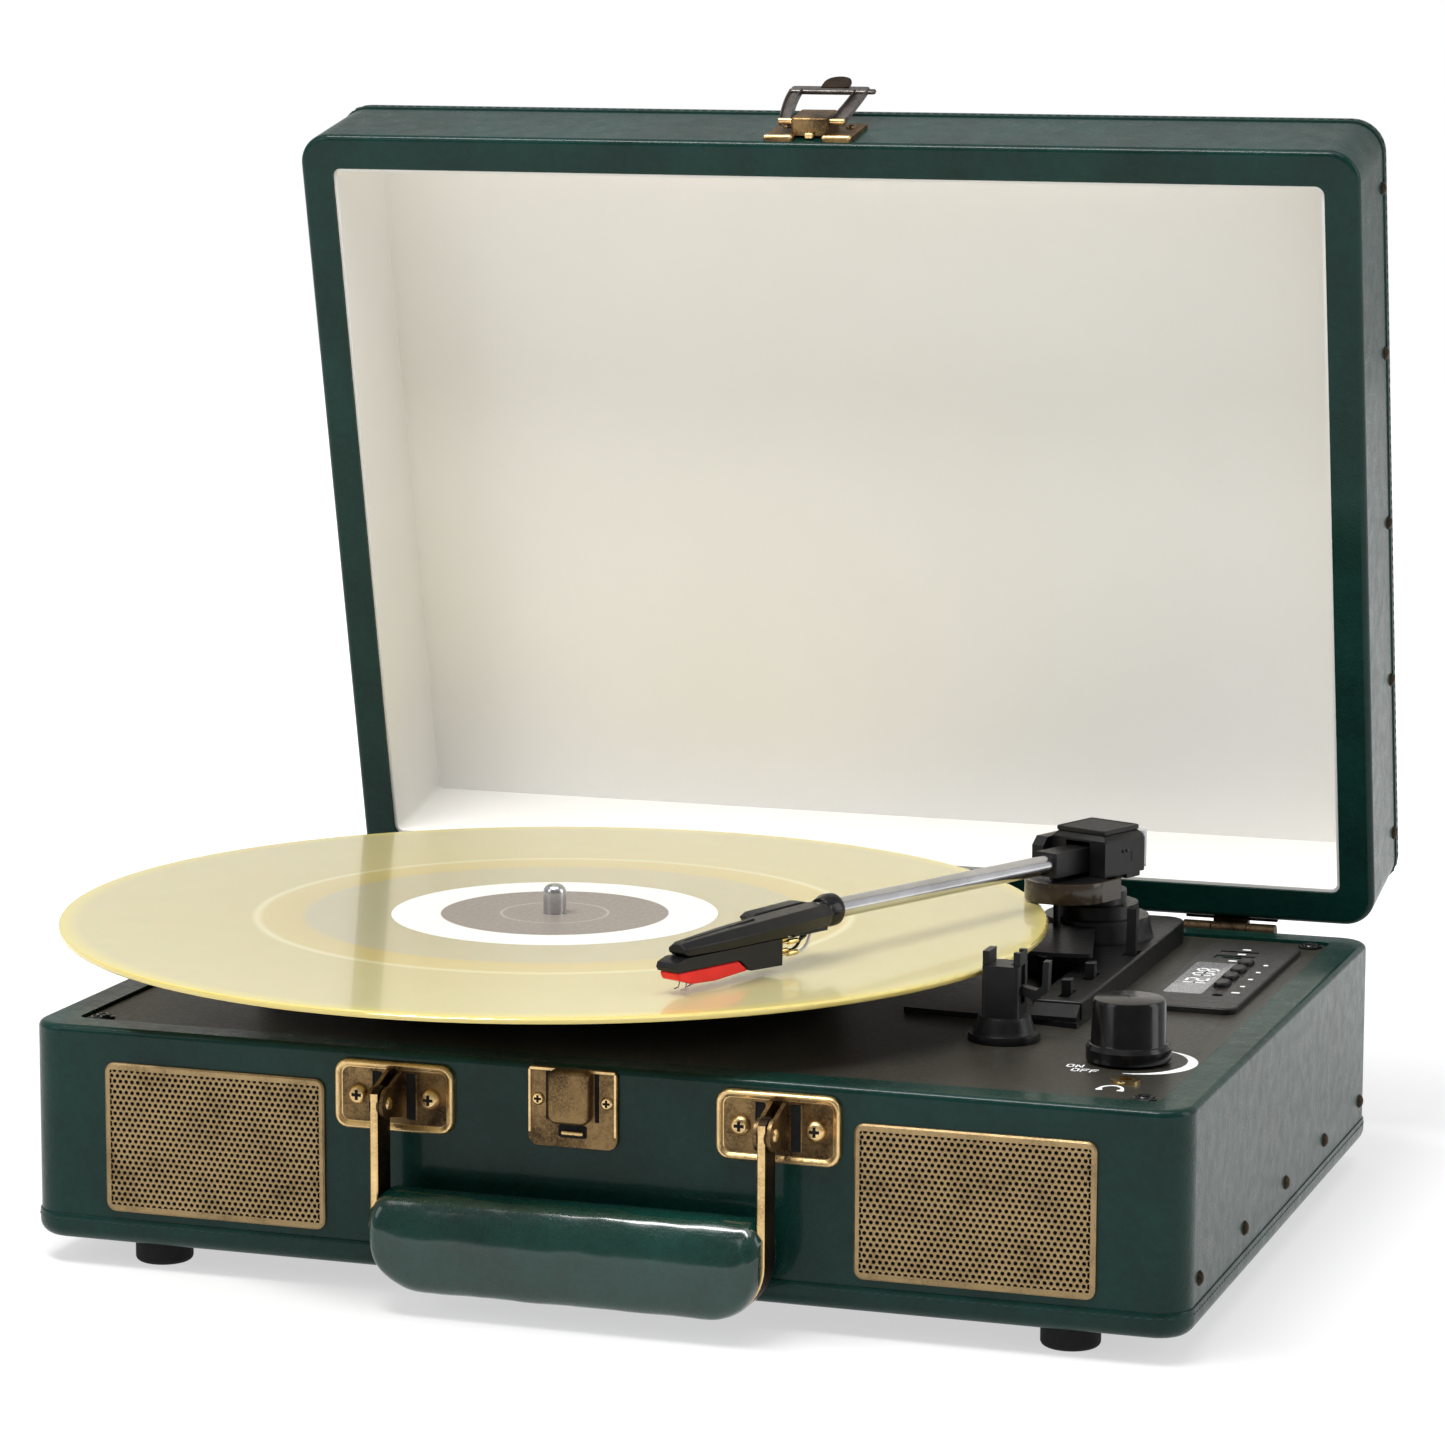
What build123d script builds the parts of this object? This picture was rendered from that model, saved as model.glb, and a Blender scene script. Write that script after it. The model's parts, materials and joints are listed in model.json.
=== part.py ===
"""A suitcase record player, drawn in millimetres with its lid open and a record playing.

+X is to the right, +Y to the back and +Z up. Pieces are drawn about the middle of the
case, on the surface that the feet stand on. The lid is drawn shut and then swung open, and
every piece is written with the origin under the middle of the whole object's box.
"""

import os
from math import cos, radians, sin

from build123d import *

os.makedirs("parts", exist_ok=True)

# Case and lid
CASE_W = 348.0
CASE_D = 254.6
CASE_H = 64.0
FOOT_H = 8.0
WALL = 11.0
CORNER_R = 10.0
CASE_BOTTOM = FOOT_H
CASE_TOP = CASE_BOTTOM + CASE_H
DECK_TOP = CASE_TOP - 1.0
DECK_T = 2.5
DECK_UNDER = DECK_TOP - DECK_T
FRONT_Y = -CASE_D / 2
REAR_Y = CASE_D / 2
SIDE_X = CASE_W / 2
CAVITY_W = CASE_W - 2 * WALL
CAVITY_D = CASE_D - 2 * WALL
CAVITY_R = 3.0
SKIN_GAP = 0.3
FLOOR_T = 6.0
LID_GAP = 0.4
LID_BOTTOM = CASE_TOP + LID_GAP
LID_H = 43.4
LID_TOP = LID_BOTTOM + LID_H
LID_PANEL_T = 2.2
LINING_T = 1.0
HINGE_Y = REAR_Y + 3.4
HINGE_Z = CASE_TOP - 1.0
HINGE_X = 127.0
HINGE_R = 2.6
HINGE_PIN_R = 1.2
LID_OPEN = 77.7
LID_AXIS = Axis((0, HINGE_Y, HINGE_Z), (1, 0, 0))
BOX_MIDDLE_X = -13.9
BOX_MIDDLE_Y = 4.5

# Front fittings
GRILLE_X = 114.2
GRILLE_W = 69.4
GRILLE_H = 44.6
GRILLE_Z = CASE_BOTTOM + 31.9
GRILLE_T = 1.2
BRACKET_X = 57.6
BRACKET_W = 36.5
BRACKET_H = 20.2
BRACKET_Z = CASE_BOTTOM + 51.0
BRACKET_T = 1.2
BRACKET_SCREW_X = 11.0
PIVOT_Y = FRONT_Y - 12.0
PIVOT_Z = CASE_BOTTOM + 51.5
PIVOT_R = 1.5
STRAP_T = 2.3
STRAP_W = 10.0
STRAP_BOTTOM = CASE_BOTTOM - 1.0
STRAP_BEND = 16.0
GRIP_TOP = CASE_BOTTOM + 27.5
GRIP_DEPTH = 21.0
CATCH_X = -3.4
CATCH_W = 26.8
CATCH_LOW = CASE_BOTTOM + 40.4
CATCH_HIGH = CASE_BOTTOM + 63.2

# Turntable
RECORD_R = 150.8
RECORD_T = 2.0
RECORD_TOP = CASE_BOTTOM + 83.5
RECORD_UNDER = RECORD_TOP - RECORD_T
RECORD_HOLE_R = 3.62
LABEL_R = 50.0
LABEL_T = 0.2
PLATTER_X = -51.8
PLATTER_Y = -12.9
PLATTER = (PLATTER_X, PLATTER_Y)
PLATTER_R = 91.0
MAT_T = 1.5
PLATTER_TOP = RECORD_UNDER - MAT_T
PLATTER_T = 2.5
PLATTER_UNDER = PLATTER_TOP - PLATTER_T
SKIRT_BOTTOM = DECK_TOP + 8.0
DRIVE_R = 62.0
DRIVE_BOTTOM = DECK_TOP + 6.5
SPINDLE_R = 3.55
SPINDLE_TIP_R = 3.5
SPINDLE_TOP = RECORD_TOP + 9.0
BUSH_BORE_R = 3.6
BUSH_BOTTOM = DECK_TOP - 19.0
PULLEY_R = 5.0
MOTOR_REACH = 80.0
MOTOR_TURN = 150.0
MOTOR = (
    PLATTER_X + MOTOR_REACH * cos(radians(MOTOR_TURN)),
    PLATTER_Y + MOTOR_REACH * sin(radians(MOTOR_TURN)),
)
MOTOR_R = 16.0
MOTOR_SHAFT_R = 1.0
BELT_BOTTOM = DECK_TOP + 8.0
BELT_H = 4.0
BELT_T = 0.8
BELT_GAP = 0.3

# Tonearm: distances along the arm are counted from its pivot, towards the needle
ARM_X = 96.9
ARM_Y = 74.3
ARM_PIVOT = (ARM_X, ARM_Y)
ARM_Z = CASE_BOTTOM + 95.8
ARM_TURN = 21.7
ARM_RISE = 0.8
ARM_BOARD_TOP = DECK_TOP + 7.0
TUBE_R = 3.0
SLEEVE_FRONT = 27.0
SLEEVE_BACK = -7.0
SLEEVE_W = 8.0
SLEEVE_H = 7.6
COLLAR = 132.0
NEEDLE = 197.7
NEEDLE_GAP = 0.15
ARM_PIN_R = 1.0
HEAD_W = 21.0
HEAD_BOTTOM = ARM_Z - 5.2
HEAD_TOP = ARM_Z + 9.5
SLOT_DEPTH = 10.8
SLOT_BACK = 8.6
DRUM_REACH = 15.5
DRUM_R = 13.5
DRUM_WALL = 1.5
DRUM_BOTTOM = RECORD_TOP + 0.7
YAW_R = 3.0
LIFT_FLOOR = DECK_TOP + 12.0
LIFT_T = 1.2
LIFT_IN = 18.6
LIFT_OUT = 61.0
LIFT_POST = 21.0

# Deck fittings
KNOB = (142.0, -66.0)
KNOB_STEM_R = 3.0
JACK = (147.5, -91.6)
JACK_R = 1.8
JACK_DEPTH = 14.0
REST = (101.0, -50.0)
REST_W = 11.0
PRONG_X = 4.6
PRONG_T = 2.0
CLIP_REACH = 5.5
PANEL_LEFT = 128.0
PANEL_RIGHT = 157.0
PANEL_FRONT = 3.0
PANEL_REAR = 102.0
PANEL_T = 2.0
PANEL_TOP = DECK_TOP + PANEL_T
BUTTON_X = 146.0
BUTTON_YS = (36.0, 47.0, 58.0, 69.0)
BUTTON_W = 4.4
BUTTON_L = 8.0
BUTTON_PROUD = 1.4
SPEED_SWITCH = (110.5, -14.0)
STOP_SWITCH = (111.0, 12.0)
SWITCH_W = 3.4
CUE = (114.2, 50.0)
CUE_PIN_R = 1.2
RUNNING = 0.05


# Planes. Sketches on a front, rear or side plane use the height as their second number.
def level(z):
    return Plane.XY.offset(z)


def facing_front(y):
    return Plane.XZ.offset(-y)


def facing_right(x):
    return Plane.YZ.offset(x)


def facing_rear(y):
    return Plane(origin=(0, y, 0), x_dir=(-1, 0, 0), z_dir=(0, 1, 0))


def arm_frame(rise):
    """x runs along the arm to the needle, y to its right and z up, from the pivot."""
    back = radians(ARM_TURN)
    tilt = radians(rise)
    forward = (-sin(back) * cos(tilt), -cos(back) * cos(tilt), sin(tilt))
    right = Vector(cos(back), -sin(back), 0)
    return Plane(
        origin=(ARM_X, ARM_Y, ARM_Z), x_dir=forward, z_dir=Vector(forward).cross(right)
    )


def arm_side(frame):
    """Sketches on this plane use the distance along the arm and the height."""
    return Plane(origin=frame.origin, x_dir=frame.x_dir, z_dir=-frame.y_dir)


def arm_section(frame, along):
    """Sketches on this plane cut across the arm; extruding goes to the needle."""
    place = frame.from_local_coords((along, 0, 0))
    return Plane(origin=place, x_dir=frame.y_dir, z_dir=frame.x_dir)


HEAD = arm_frame(0)
ARM = arm_frame(ARM_RISE)


# Shapes that many pieces share. Each adds to, or cuts, the piece being made.
def block(low, high, radius=0.0, mode=Mode.ADD):
    """An upright box from its lowest to its highest corner."""
    size = (high[0] - low[0], high[1] - low[1])
    with BuildSketch(level(low[2])) as outline:
        with Locations(((low[0] + high[0]) / 2, (low[1] + high[1]) / 2)):
            if radius:
                RectangleRounded(*size, radius)
            else:
                Rectangle(*size)
    extrude(outline.sketch, amount=high[2] - low[2], mode=mode)


def disc(centre, radius, bottom, top, mode=Mode.ADD):
    with BuildSketch(level(bottom)) as outline:
        with Locations(centre):
            Circle(radius)
    extrude(outline.sketch, amount=top - bottom, mode=mode)


def slab(plane, centre, size, radius, thickness, mode=Mode.ADD):
    """A rounded rectangle drawn on any plane and extruded along its normal."""
    with BuildSketch(plane) as outline:
        with Locations(centre):
            RectangleRounded(*size, radius)
    extrude(outline.sketch, amount=thickness, mode=mode)


def peg(plane, centre, radius, length, mode=Mode.ADD):
    """A round pin or hole, drawn on any plane."""
    with BuildSketch(plane) as outline:
        with Locations(centre):
            Circle(radius)
    extrude(outline.sketch, amount=length, mode=mode)


def bar(plane, points, amount, both=False, mode=Mode.ADD):
    """A straight-edged outline on any plane, extruded."""
    with BuildSketch(plane) as outline:
        with BuildLine():
            Polyline(*points, close=True)
        make_face()
    extrude(outline.sketch, amount=amount, both=both, mode=mode)


def pan_head(plane, centre, radius, height, slot):
    """A domed screw head with a cross recess, and its shank behind the plane."""
    peg(plane, centre, radius, height)
    peg(plane.offset(-8), centre, radius * 0.45, 8)
    for size in ((slot, slot / 4), (slot / 4, slot)):
        with BuildSketch(plane.offset(height * 0.5)) as cross:
            with Locations(centre):
                Rectangle(*size)
        extrude(cross.sketch, amount=height, mode=Mode.SUBTRACT)


def write(piece, name):
    """Moves a finished piece to the object's own origin and writes it."""
    piece.part = piece.part.moved(Location((-BOX_MIDDLE_X, -BOX_MIDDLE_Y, 0)))
    piece.part.label = name
    export_step(piece.part, f"parts/{name}.step")


def write_on_lid(piece, name):
    """Pieces of the lid are drawn with it shut, then swung open with it."""
    piece.part = piece.part.rotate(LID_AXIS, -LID_OPEN)
    write(piece, name)


# Case
SPEAKER_HOLE = (60.0, 38.0)
with BuildPart() as case_shell:
    outer = (-SIDE_X, FRONT_Y, CASE_BOTTOM), (SIDE_X, REAR_Y, CASE_TOP)
    block(*outer, CORNER_R)
    fillet(case_shell.faces().sort_by(Axis.Z)[-1].edges(), 2.0)
    fillet(case_shell.faces().sort_by(Axis.Z)[0].edges(), 4.0)
    inner = (-CAVITY_W / 2, -CAVITY_D / 2, CASE_BOTTOM), (CAVITY_W / 2, CAVITY_D / 2, CASE_TOP)
    block(*inner, CAVITY_R, mode=Mode.SUBTRACT)
    for side in (-1, 1):
        slab(
            facing_front(FRONT_Y), (side * GRILLE_X, GRILLE_Z), SPEAKER_HOLE, 6, -WALL,
            mode=Mode.SUBTRACT,
        )
    slab(facing_rear(REAR_Y), (0, 36), (64, 17), 2, -WALL, mode=Mode.SUBTRACT)
    for x in (-1, 1):
        for y in (-1, 1):
            low_x = x * CAVITY_W / 2
            low_y = y * CAVITY_D / 2
            xs = sorted((low_x, low_x - x * 15))
            ys = sorted((low_y, low_y - y * 15))
            bottom = CASE_BOTTOM + FLOOR_T + 0.5
            block((xs[0], ys[0], bottom), (xs[1], ys[1], DECK_UNDER))
write(case_shell, "case_shell")

with BuildPart() as bottom_panel:
    half_w = CAVITY_W / 2 - SKIN_GAP
    half_d = CAVITY_D / 2 - SKIN_GAP
    block((-half_w, -half_d, CASE_BOTTOM), (half_w, half_d, CASE_BOTTOM + FLOOR_T), CAVITY_R)
write(bottom_panel, "bottom_panel")

FOOT_X = 138.0
FOOT_Y = 112.0
FOOT_SPOTS = [(x * FOOT_X, y * FOOT_Y) for x in (-1, 1) for y in (-1, 1)]
with BuildPart() as feet:
    for spot in FOOT_SPOTS:
        disc(spot, 8.5, 0, FOOT_H)
    fillet(feet.faces().group_by(Axis.Z)[0].edges(), 1.5)
write(feet, "feet")

DECK_SCREWS = [(x * 157.5, y * 111) for x in (-1, 1) for y in (-1, 1)]
with BuildPart() as deck_plate:
    half_w = CAVITY_W / 2 - SKIN_GAP
    half_d = CAVITY_D / 2 - SKIN_GAP
    block((-half_w, -half_d, DECK_UNDER), (half_w, half_d, DECK_TOP), CAVITY_R)
    disc(PLATTER, 8.3, DECK_UNDER, DECK_TOP, mode=Mode.SUBTRACT)
    disc(MOTOR, 4.0, DECK_UNDER, DECK_TOP, mode=Mode.SUBTRACT)
    disc(KNOB, 4.3, DECK_UNDER, DECK_TOP, mode=Mode.SUBTRACT)
    disc(JACK, 4.0, DECK_UNDER, DECK_TOP, mode=Mode.SUBTRACT)
    window_low = (PANEL_LEFT + 3, PANEL_FRONT + 4, DECK_UNDER)
    window_high = (PANEL_RIGHT - 3, PANEL_REAR - 4, DECK_TOP)
    block(window_low, window_high, 2, mode=Mode.SUBTRACT)
    for spot in DECK_SCREWS:
        disc(spot, 2.0, DECK_UNDER, DECK_TOP, mode=Mode.SUBTRACT)
write(deck_plate, "deck_plate")

with BuildPart() as deck_screws:
    for spot in DECK_SCREWS:
        disc(spot, 3.6, DECK_TOP, DECK_TOP + 1.6)
        disc(spot, 1.7, DECK_UNDER - 9, DECK_TOP)
        for size in ((3.6, 0.9), (0.9, 3.6)):
            low = (spot[0] - size[0] / 2, spot[1] - size[1] / 2, DECK_TOP + 0.8)
            high = (spot[0] + size[0] / 2, spot[1] + size[1] / 2, DECK_TOP + 1.6)
            block(low, high, mode=Mode.SUBTRACT)
write(deck_screws, "deck_screws")

NAIL_YS = (-111.0, -54.0, 2.0, 58.0, 113.0)
with BuildPart() as case_nails:
    for y in NAIL_YS:
        peg(facing_right(SIDE_X), (y, CASE_BOTTOM + 14), 2.2, 0.8)
        peg(facing_right(-SIDE_X), (y, CASE_BOTTOM + 14), 2.2, -0.8)
write(case_nails, "case_nails")

with BuildPart() as speaker_grilles:
    for side in (-1, 1):
        slab(
            facing_front(FRONT_Y), (side * GRILLE_X, GRILLE_Z), (GRILLE_W, GRILLE_H), 3,
            GRILLE_T,
        )
write(speaker_grilles, "speaker_grilles")

SPEAKER_Y = FRONT_Y + WALL
with BuildPart() as speakers:
    for side in (-1, 1):
        spot = (side * GRILLE_X, GRILLE_Z)
        slab(facing_front(SPEAKER_Y), spot, (52, 48), 4, -2)
        with BuildSketch(facing_front(SPEAKER_Y + 2)) as wide:
            with Locations(spot):
                Circle(23.5)
        extrude(wide.sketch, amount=-14, taper=28)
        peg(facing_front(SPEAKER_Y + 16), spot, 18, -10)
        with BuildSketch(facing_front(SPEAKER_Y)) as mouth:
            with Locations(spot):
                Circle(22.0)
        extrude(mouth.sketch, amount=-14, taper=28, mode=Mode.SUBTRACT)
write(speakers, "speakers")

with BuildPart() as speaker_cones:
    for side in (-1, 1):
        spot = (side * GRILLE_X, GRILLE_Z)
        with BuildSketch(facing_front(SPEAKER_Y + 1)) as front:
            with Locations(spot):
                Circle(20.6)
        extrude(front.sketch, amount=-10, taper=28)
        with BuildSketch(facing_front(SPEAKER_Y)) as hollow:
            with Locations(spot):
                Circle(20.2)
        extrude(hollow.sketch, amount=-10, taper=28, mode=Mode.SUBTRACT)
write(speaker_cones, "speaker_cones")

# Carrying handle
EAR_IN = STRAP_T / 2 + 0.25
EAR_T = 1.2
with BuildPart() as handle_plates:
    for side in (-1, 1):
        spot = (side * BRACKET_X, BRACKET_Z)
        slab(facing_front(FRONT_Y), spot, (BRACKET_W, BRACKET_H), 4, BRACKET_T + 0.9)
        slab(
            facing_front(FRONT_Y - BRACKET_T), spot, (BRACKET_W - 4, BRACKET_H - 4), 2.5, 2,
            mode=Mode.SUBTRACT,
        )
        for ear in (-1, 1):
            centre_x = side * BRACKET_X + ear * (EAR_IN + EAR_T / 2)
            with BuildSketch(facing_right(centre_x - EAR_T / 2)) as outline:
                with BuildLine():
                    face_y = FRONT_Y - BRACKET_T + 0.2
                    Line((face_y, PIVOT_Z + 7), (PIVOT_Y, PIVOT_Z + 4.5))
                    nose = ThreePointArc(
                        (PIVOT_Y, PIVOT_Z + 4.5), (PIVOT_Y - 4.5, PIVOT_Z),
                        (PIVOT_Y, PIVOT_Z - 4.5),
                    )
                    Polyline(nose @ 1, (face_y, PIVOT_Z - 6), (face_y, PIVOT_Z + 7))
                make_face()
            extrude(outline.sketch, amount=EAR_T)
    for side in (-1, 1):
        start = side * BRACKET_X - 4
        peg(facing_right(start), (PIVOT_Y, PIVOT_Z), PIVOT_R + 0.1, 8, mode=Mode.SUBTRACT)
        for offset_x in (-BRACKET_SCREW_X, BRACKET_SCREW_X):
            spot = (side * BRACKET_X + offset_x, BRACKET_Z)
            peg(facing_front(FRONT_Y), spot, 1.5, 3, mode=Mode.SUBTRACT)
write(handle_plates, "handle_plates")

with BuildPart() as handle_pins:
    for side in (-1, 1):
        half = EAR_IN + EAR_T + 0.5
        start = side * BRACKET_X - half
        peg(facing_right(start), (PIVOT_Y, PIVOT_Z), PIVOT_R, 2 * half)
        for end in (-1, 1):
            head = side * BRACKET_X + end * half
            peg(facing_right(head), (PIVOT_Y, PIVOT_Z), 2.2, end * 0.5)
write(handle_pins, "handle_pins")

with BuildPart() as front_screws:
    for side in (-1, 1):
        for offset_x in (-BRACKET_SCREW_X, BRACKET_SCREW_X):
            pan_head(
                facing_front(FRONT_Y - BRACKET_T), (side * BRACKET_X + offset_x, BRACKET_Z),
                3.0, 1.9, 3.4,
            )
    for offset_x in (-10.3, 10.3):
        spot = (CATCH_X + offset_x, CATCH_LOW + 13.5)
        pan_head(facing_front(FRONT_Y - 1.2), spot, 1.9, 1.0, 2.2)
write(front_screws, "front_screws")

STRAP_HALF = BRACKET_X + STRAP_T / 2
with BuildPart() as handle_strap:
    # a U-shaped band: a rounded rectangle less the same one moved inwards and up
    with BuildSketch(facing_front(PIVOT_Y + STRAP_W / 2)) as band:
        mid_z = (PIVOT_Z + 4 + STRAP_BOTTOM) / 2
        height = PIVOT_Z + 4 - STRAP_BOTTOM
        with Locations((0, mid_z)):
            Rectangle(2 * STRAP_HALF, height)
        fillet(band.vertices().group_by(Axis.Y)[0], STRAP_BEND)
    extrude(band.sketch, amount=STRAP_W)
    with BuildSketch(facing_front(PIVOT_Y + STRAP_W / 2)) as gap:
        with Locations((0, mid_z + STRAP_T)):
            Rectangle(2 * (STRAP_HALF - STRAP_T), height)
        fillet(gap.vertices().group_by(Axis.Y)[0], STRAP_BEND - STRAP_T)
    extrude(gap.sketch, amount=STRAP_W, mode=Mode.SUBTRACT)
    for side in (-1, 1):
        start = side * BRACKET_X - STRAP_T
        peg(
            facing_right(start), (PIVOT_Y, PIVOT_Z), PIVOT_R + RUNNING, 2 * STRAP_T,
            mode=Mode.SUBTRACT,
        )
write(handle_strap, "handle_strap")

with BuildPart() as handle_grip:
    inside = STRAP_HALF - STRAP_T
    bottom = STRAP_BOTTOM + STRAP_T
    with BuildSketch(facing_front(PIVOT_Y + GRIP_DEPTH / 2)) as outline:
        with Locations((0, (GRIP_TOP + bottom) / 2)):
            Rectangle(2 * inside, GRIP_TOP - bottom)
        fillet(outline.vertices().group_by(Axis.Y)[0], STRAP_BEND - STRAP_T)
    extrude(outline.sketch, amount=GRIP_DEPTH)
    fillet(handle_grip.edges().filter_by(Axis.X).group_by(Axis.Z)[-1], 8.0)
    fillet(handle_grip.edges().filter_by(Axis.X).group_by(Axis.Z)[0], 3.0)
write(handle_grip, "handle_grip")

# Lower half of the latch
with BuildPart() as catch_plate:
    middle = (CATCH_X, (CATCH_LOW + CATCH_HIGH) / 2)
    slab(facing_front(FRONT_Y), middle, (CATCH_W, CATCH_HIGH - CATCH_LOW), 3, 1.2)
    tongue = [
        (FRONT_Y - 1.2, CATCH_LOW + 8.5),
        (FRONT_Y - 4.2, CATCH_LOW + 9.5),
        (FRONT_Y - 6.2, CATCH_LOW + 20.0),
        (FRONT_Y - 4.6, CATCH_LOW + 23.0),
        (FRONT_Y - 1.2, CATCH_LOW + 23.0),
    ]
    bar(facing_right(CATCH_X - 6.4), tongue, 12.8)
    fillet(catch_plate.edges().filter_by(Axis.X).group_by(Axis.Y)[0], 1.0)
    slab(facing_front(FRONT_Y - 1.2), (CATCH_X, CATCH_LOW + 5), (7, 3.4), 1, 1.5)
    for offset_x in (-10.3, 10.3):
        spot = (CATCH_X + offset_x, CATCH_LOW + 13.5)
        peg(facing_front(FRONT_Y), spot, 1.2, 1.2, mode=Mode.SUBTRACT)
write(catch_plate, "catch_plate")

# Hinges
HINGE_HALF = 15.0
HINGE_KNUCKLE = 9.0


def hinge_spans(own):
    """Where this leaf's knuckles start and end: the case has the outer two."""
    for side in (-1, 1):
        middle = side * HINGE_X
        if own == "case":
            yield middle - HINGE_HALF, middle - HINGE_HALF + HINGE_KNUCKLE
            yield middle + HINGE_HALF - HINGE_KNUCKLE, middle + HINGE_HALF
        else:
            inner = HINGE_HALF - HINGE_KNUCKLE - 0.3
            yield middle - inner, middle + inner


with BuildPart() as hinge_case_leaves:
    for side in (-1, 1):
        low_x = side * HINGE_X - HINGE_HALF
        block((low_x, REAR_Y, HINGE_Z - 22), (low_x + 30, REAR_Y + 1.0, HINGE_Z - 3.2))
    for start, end in hinge_spans("case"):
        peg(facing_right(start), (HINGE_Y, HINGE_Z), HINGE_R, end - start)
        block((start, REAR_Y, HINGE_Z - 4), (end, REAR_Y + 1.8, HINGE_Z))
    # each pin is peened into its leaf's two knuckles
    for side in (-1, 1):
        start = side * HINGE_X - HINGE_HALF
        peg(facing_right(start), (HINGE_Y, HINGE_Z), HINGE_PIN_R, 2 * HINGE_HALF)
write(hinge_case_leaves, "hinge_case_leaves")

with BuildPart() as hinge_lid_leaves:
    for side in (-1, 1):
        low_x = side * HINGE_X - HINGE_HALF
        block((low_x, REAR_Y, HINGE_Z + 3.2), (low_x + 30, REAR_Y + 1.0, HINGE_Z + 20))
    for start, end in hinge_spans("lid"):
        peg(facing_right(start), (HINGE_Y, HINGE_Z), HINGE_R, end - start)
        block((start, REAR_Y, LID_BOTTOM + 0.5), (end, REAR_Y + 2.4, HINGE_Z + 4.5))
    for start, end in hinge_spans("lid"):
        peg(
            facing_right(start), (HINGE_Y, HINGE_Z), HINGE_PIN_R + RUNNING, end - start,
            mode=Mode.SUBTRACT,
        )
write_on_lid(hinge_lid_leaves, "hinge_lid_leaves")

# Lid
with BuildPart() as lid_shell:
    block((-SIDE_X, FRONT_Y, LID_BOTTOM), (SIDE_X, REAR_Y, LID_TOP), CORNER_R)
    fillet(lid_shell.faces().sort_by(Axis.Z)[-1].edges(), 5.0)
    fillet(lid_shell.faces().sort_by(Axis.Z)[0].edges(), 2.0)
    inner_low = (-CAVITY_W / 2, -CAVITY_D / 2, LID_BOTTOM)
    inner_high = (CAVITY_W / 2, CAVITY_D / 2, LID_TOP - LID_PANEL_T)
    block(inner_low, inner_high, CAVITY_R, mode=Mode.SUBTRACT)
write_on_lid(lid_shell, "lid_shell")

with BuildPart() as lid_lining:
    low = (-CAVITY_W / 2, -CAVITY_D / 2, LID_BOTTOM + 1)
    high = (CAVITY_W / 2, CAVITY_D / 2, LID_TOP - LID_PANEL_T)
    block(low, high, CAVITY_R)
    low = (low[0] + LINING_T, low[1] + LINING_T, low[2])
    high = (high[0] - LINING_T, high[1] - LINING_T, high[2] - LINING_T)
    block(low, high, CAVITY_R - LINING_T, mode=Mode.SUBTRACT)
write_on_lid(lid_lining, "lid_lining")

LID_NAIL_YS = (-107.0, -54.0, 2.0, 55.0, 108.0)
with BuildPart() as lid_nails:
    for y in LID_NAIL_YS:
        peg(facing_right(SIDE_X), (y, LID_BOTTOM + 34), 2.2, 0.8)
        peg(facing_right(-SIDE_X), (y, LID_BOTTOM + 34), 2.2, -0.8)
write_on_lid(lid_nails, "lid_nails")

# Upper half of the latch: a plate with a block, and a loop that hooks the catch below
LATCH_X = -1.5
LATCH_Z = LID_BOTTOM + 8.0
LATCH_Y = FRONT_Y - 5.0
LATCH_PIN_R = 1.0
LOOP_LEAN = 12.0
LOOP_HALF = 12.5
LOOP_L = 25.0
LOOP_RAIL = 3.0
LOOP_T = 2.2
LATCH_BLOCK_W = 12.0
with BuildPart() as latch_plate:
    for side in (-1, 1):
        spot = (LATCH_X + side * 10, LID_BOTTOM + 12)
        slab(facing_front(FRONT_Y), spot, (8, 19), 1.5, 1.2)
    slab(facing_front(FRONT_Y), (LATCH_X, LID_BOTTOM + 13), (14, 12), 0.8, 1.2)
    spot = (LATCH_X, LID_BOTTOM + 12.5)
    slab(facing_front(FRONT_Y - 1.2), spot, (LATCH_BLOCK_W, 12.5), 1.2, 5.6)
    fillet(latch_plate.faces().sort_by(Axis.Y)[0].edges(), 0.6)
    start = LATCH_X - LATCH_BLOCK_W / 2
    peg(
        facing_right(start), (LATCH_Y, LATCH_Z), LATCH_PIN_R + RUNNING, LATCH_BLOCK_W,
        mode=Mode.SUBTRACT,
    )
write_on_lid(latch_plate, "latch_plate")

# The loop lies back over the lid when it is undone, leaning a little away from it.
lean = radians(LOOP_LEAN)
LOOP_PLANE = Plane(
    origin=(LATCH_X, LATCH_Y, LATCH_Z), x_dir=(1, 0, 0), z_dir=(0, -cos(lean), -sin(lean))
)
with BuildPart() as latch_loop:
    peg(
        facing_right(LATCH_X - LOOP_HALF + 1), (LATCH_Y, LATCH_Z), LATCH_PIN_R,
        2 * LOOP_HALF - 2,
    )
    with BuildSketch(LOOP_PLANE.offset(-LOOP_T / 2)) as outline:
        with Locations((0, LOOP_L / 2 - 2)):
            RectangleRounded(2 * LOOP_HALF, LOOP_L, 2.5)
            RectangleRounded(2 * (LOOP_HALF - LOOP_RAIL), LOOP_L - 6, 1.2, mode=Mode.SUBTRACT)
        Rectangle(LATCH_BLOCK_W + 1.6, 6, mode=Mode.SUBTRACT)
        with Locations((0, LOOP_L - 1)):
            RectangleRounded(8.5, 6, 2)
    extrude(outline.sketch, amount=LOOP_T)
write_on_lid(latch_loop, "latch_loop")

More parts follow.
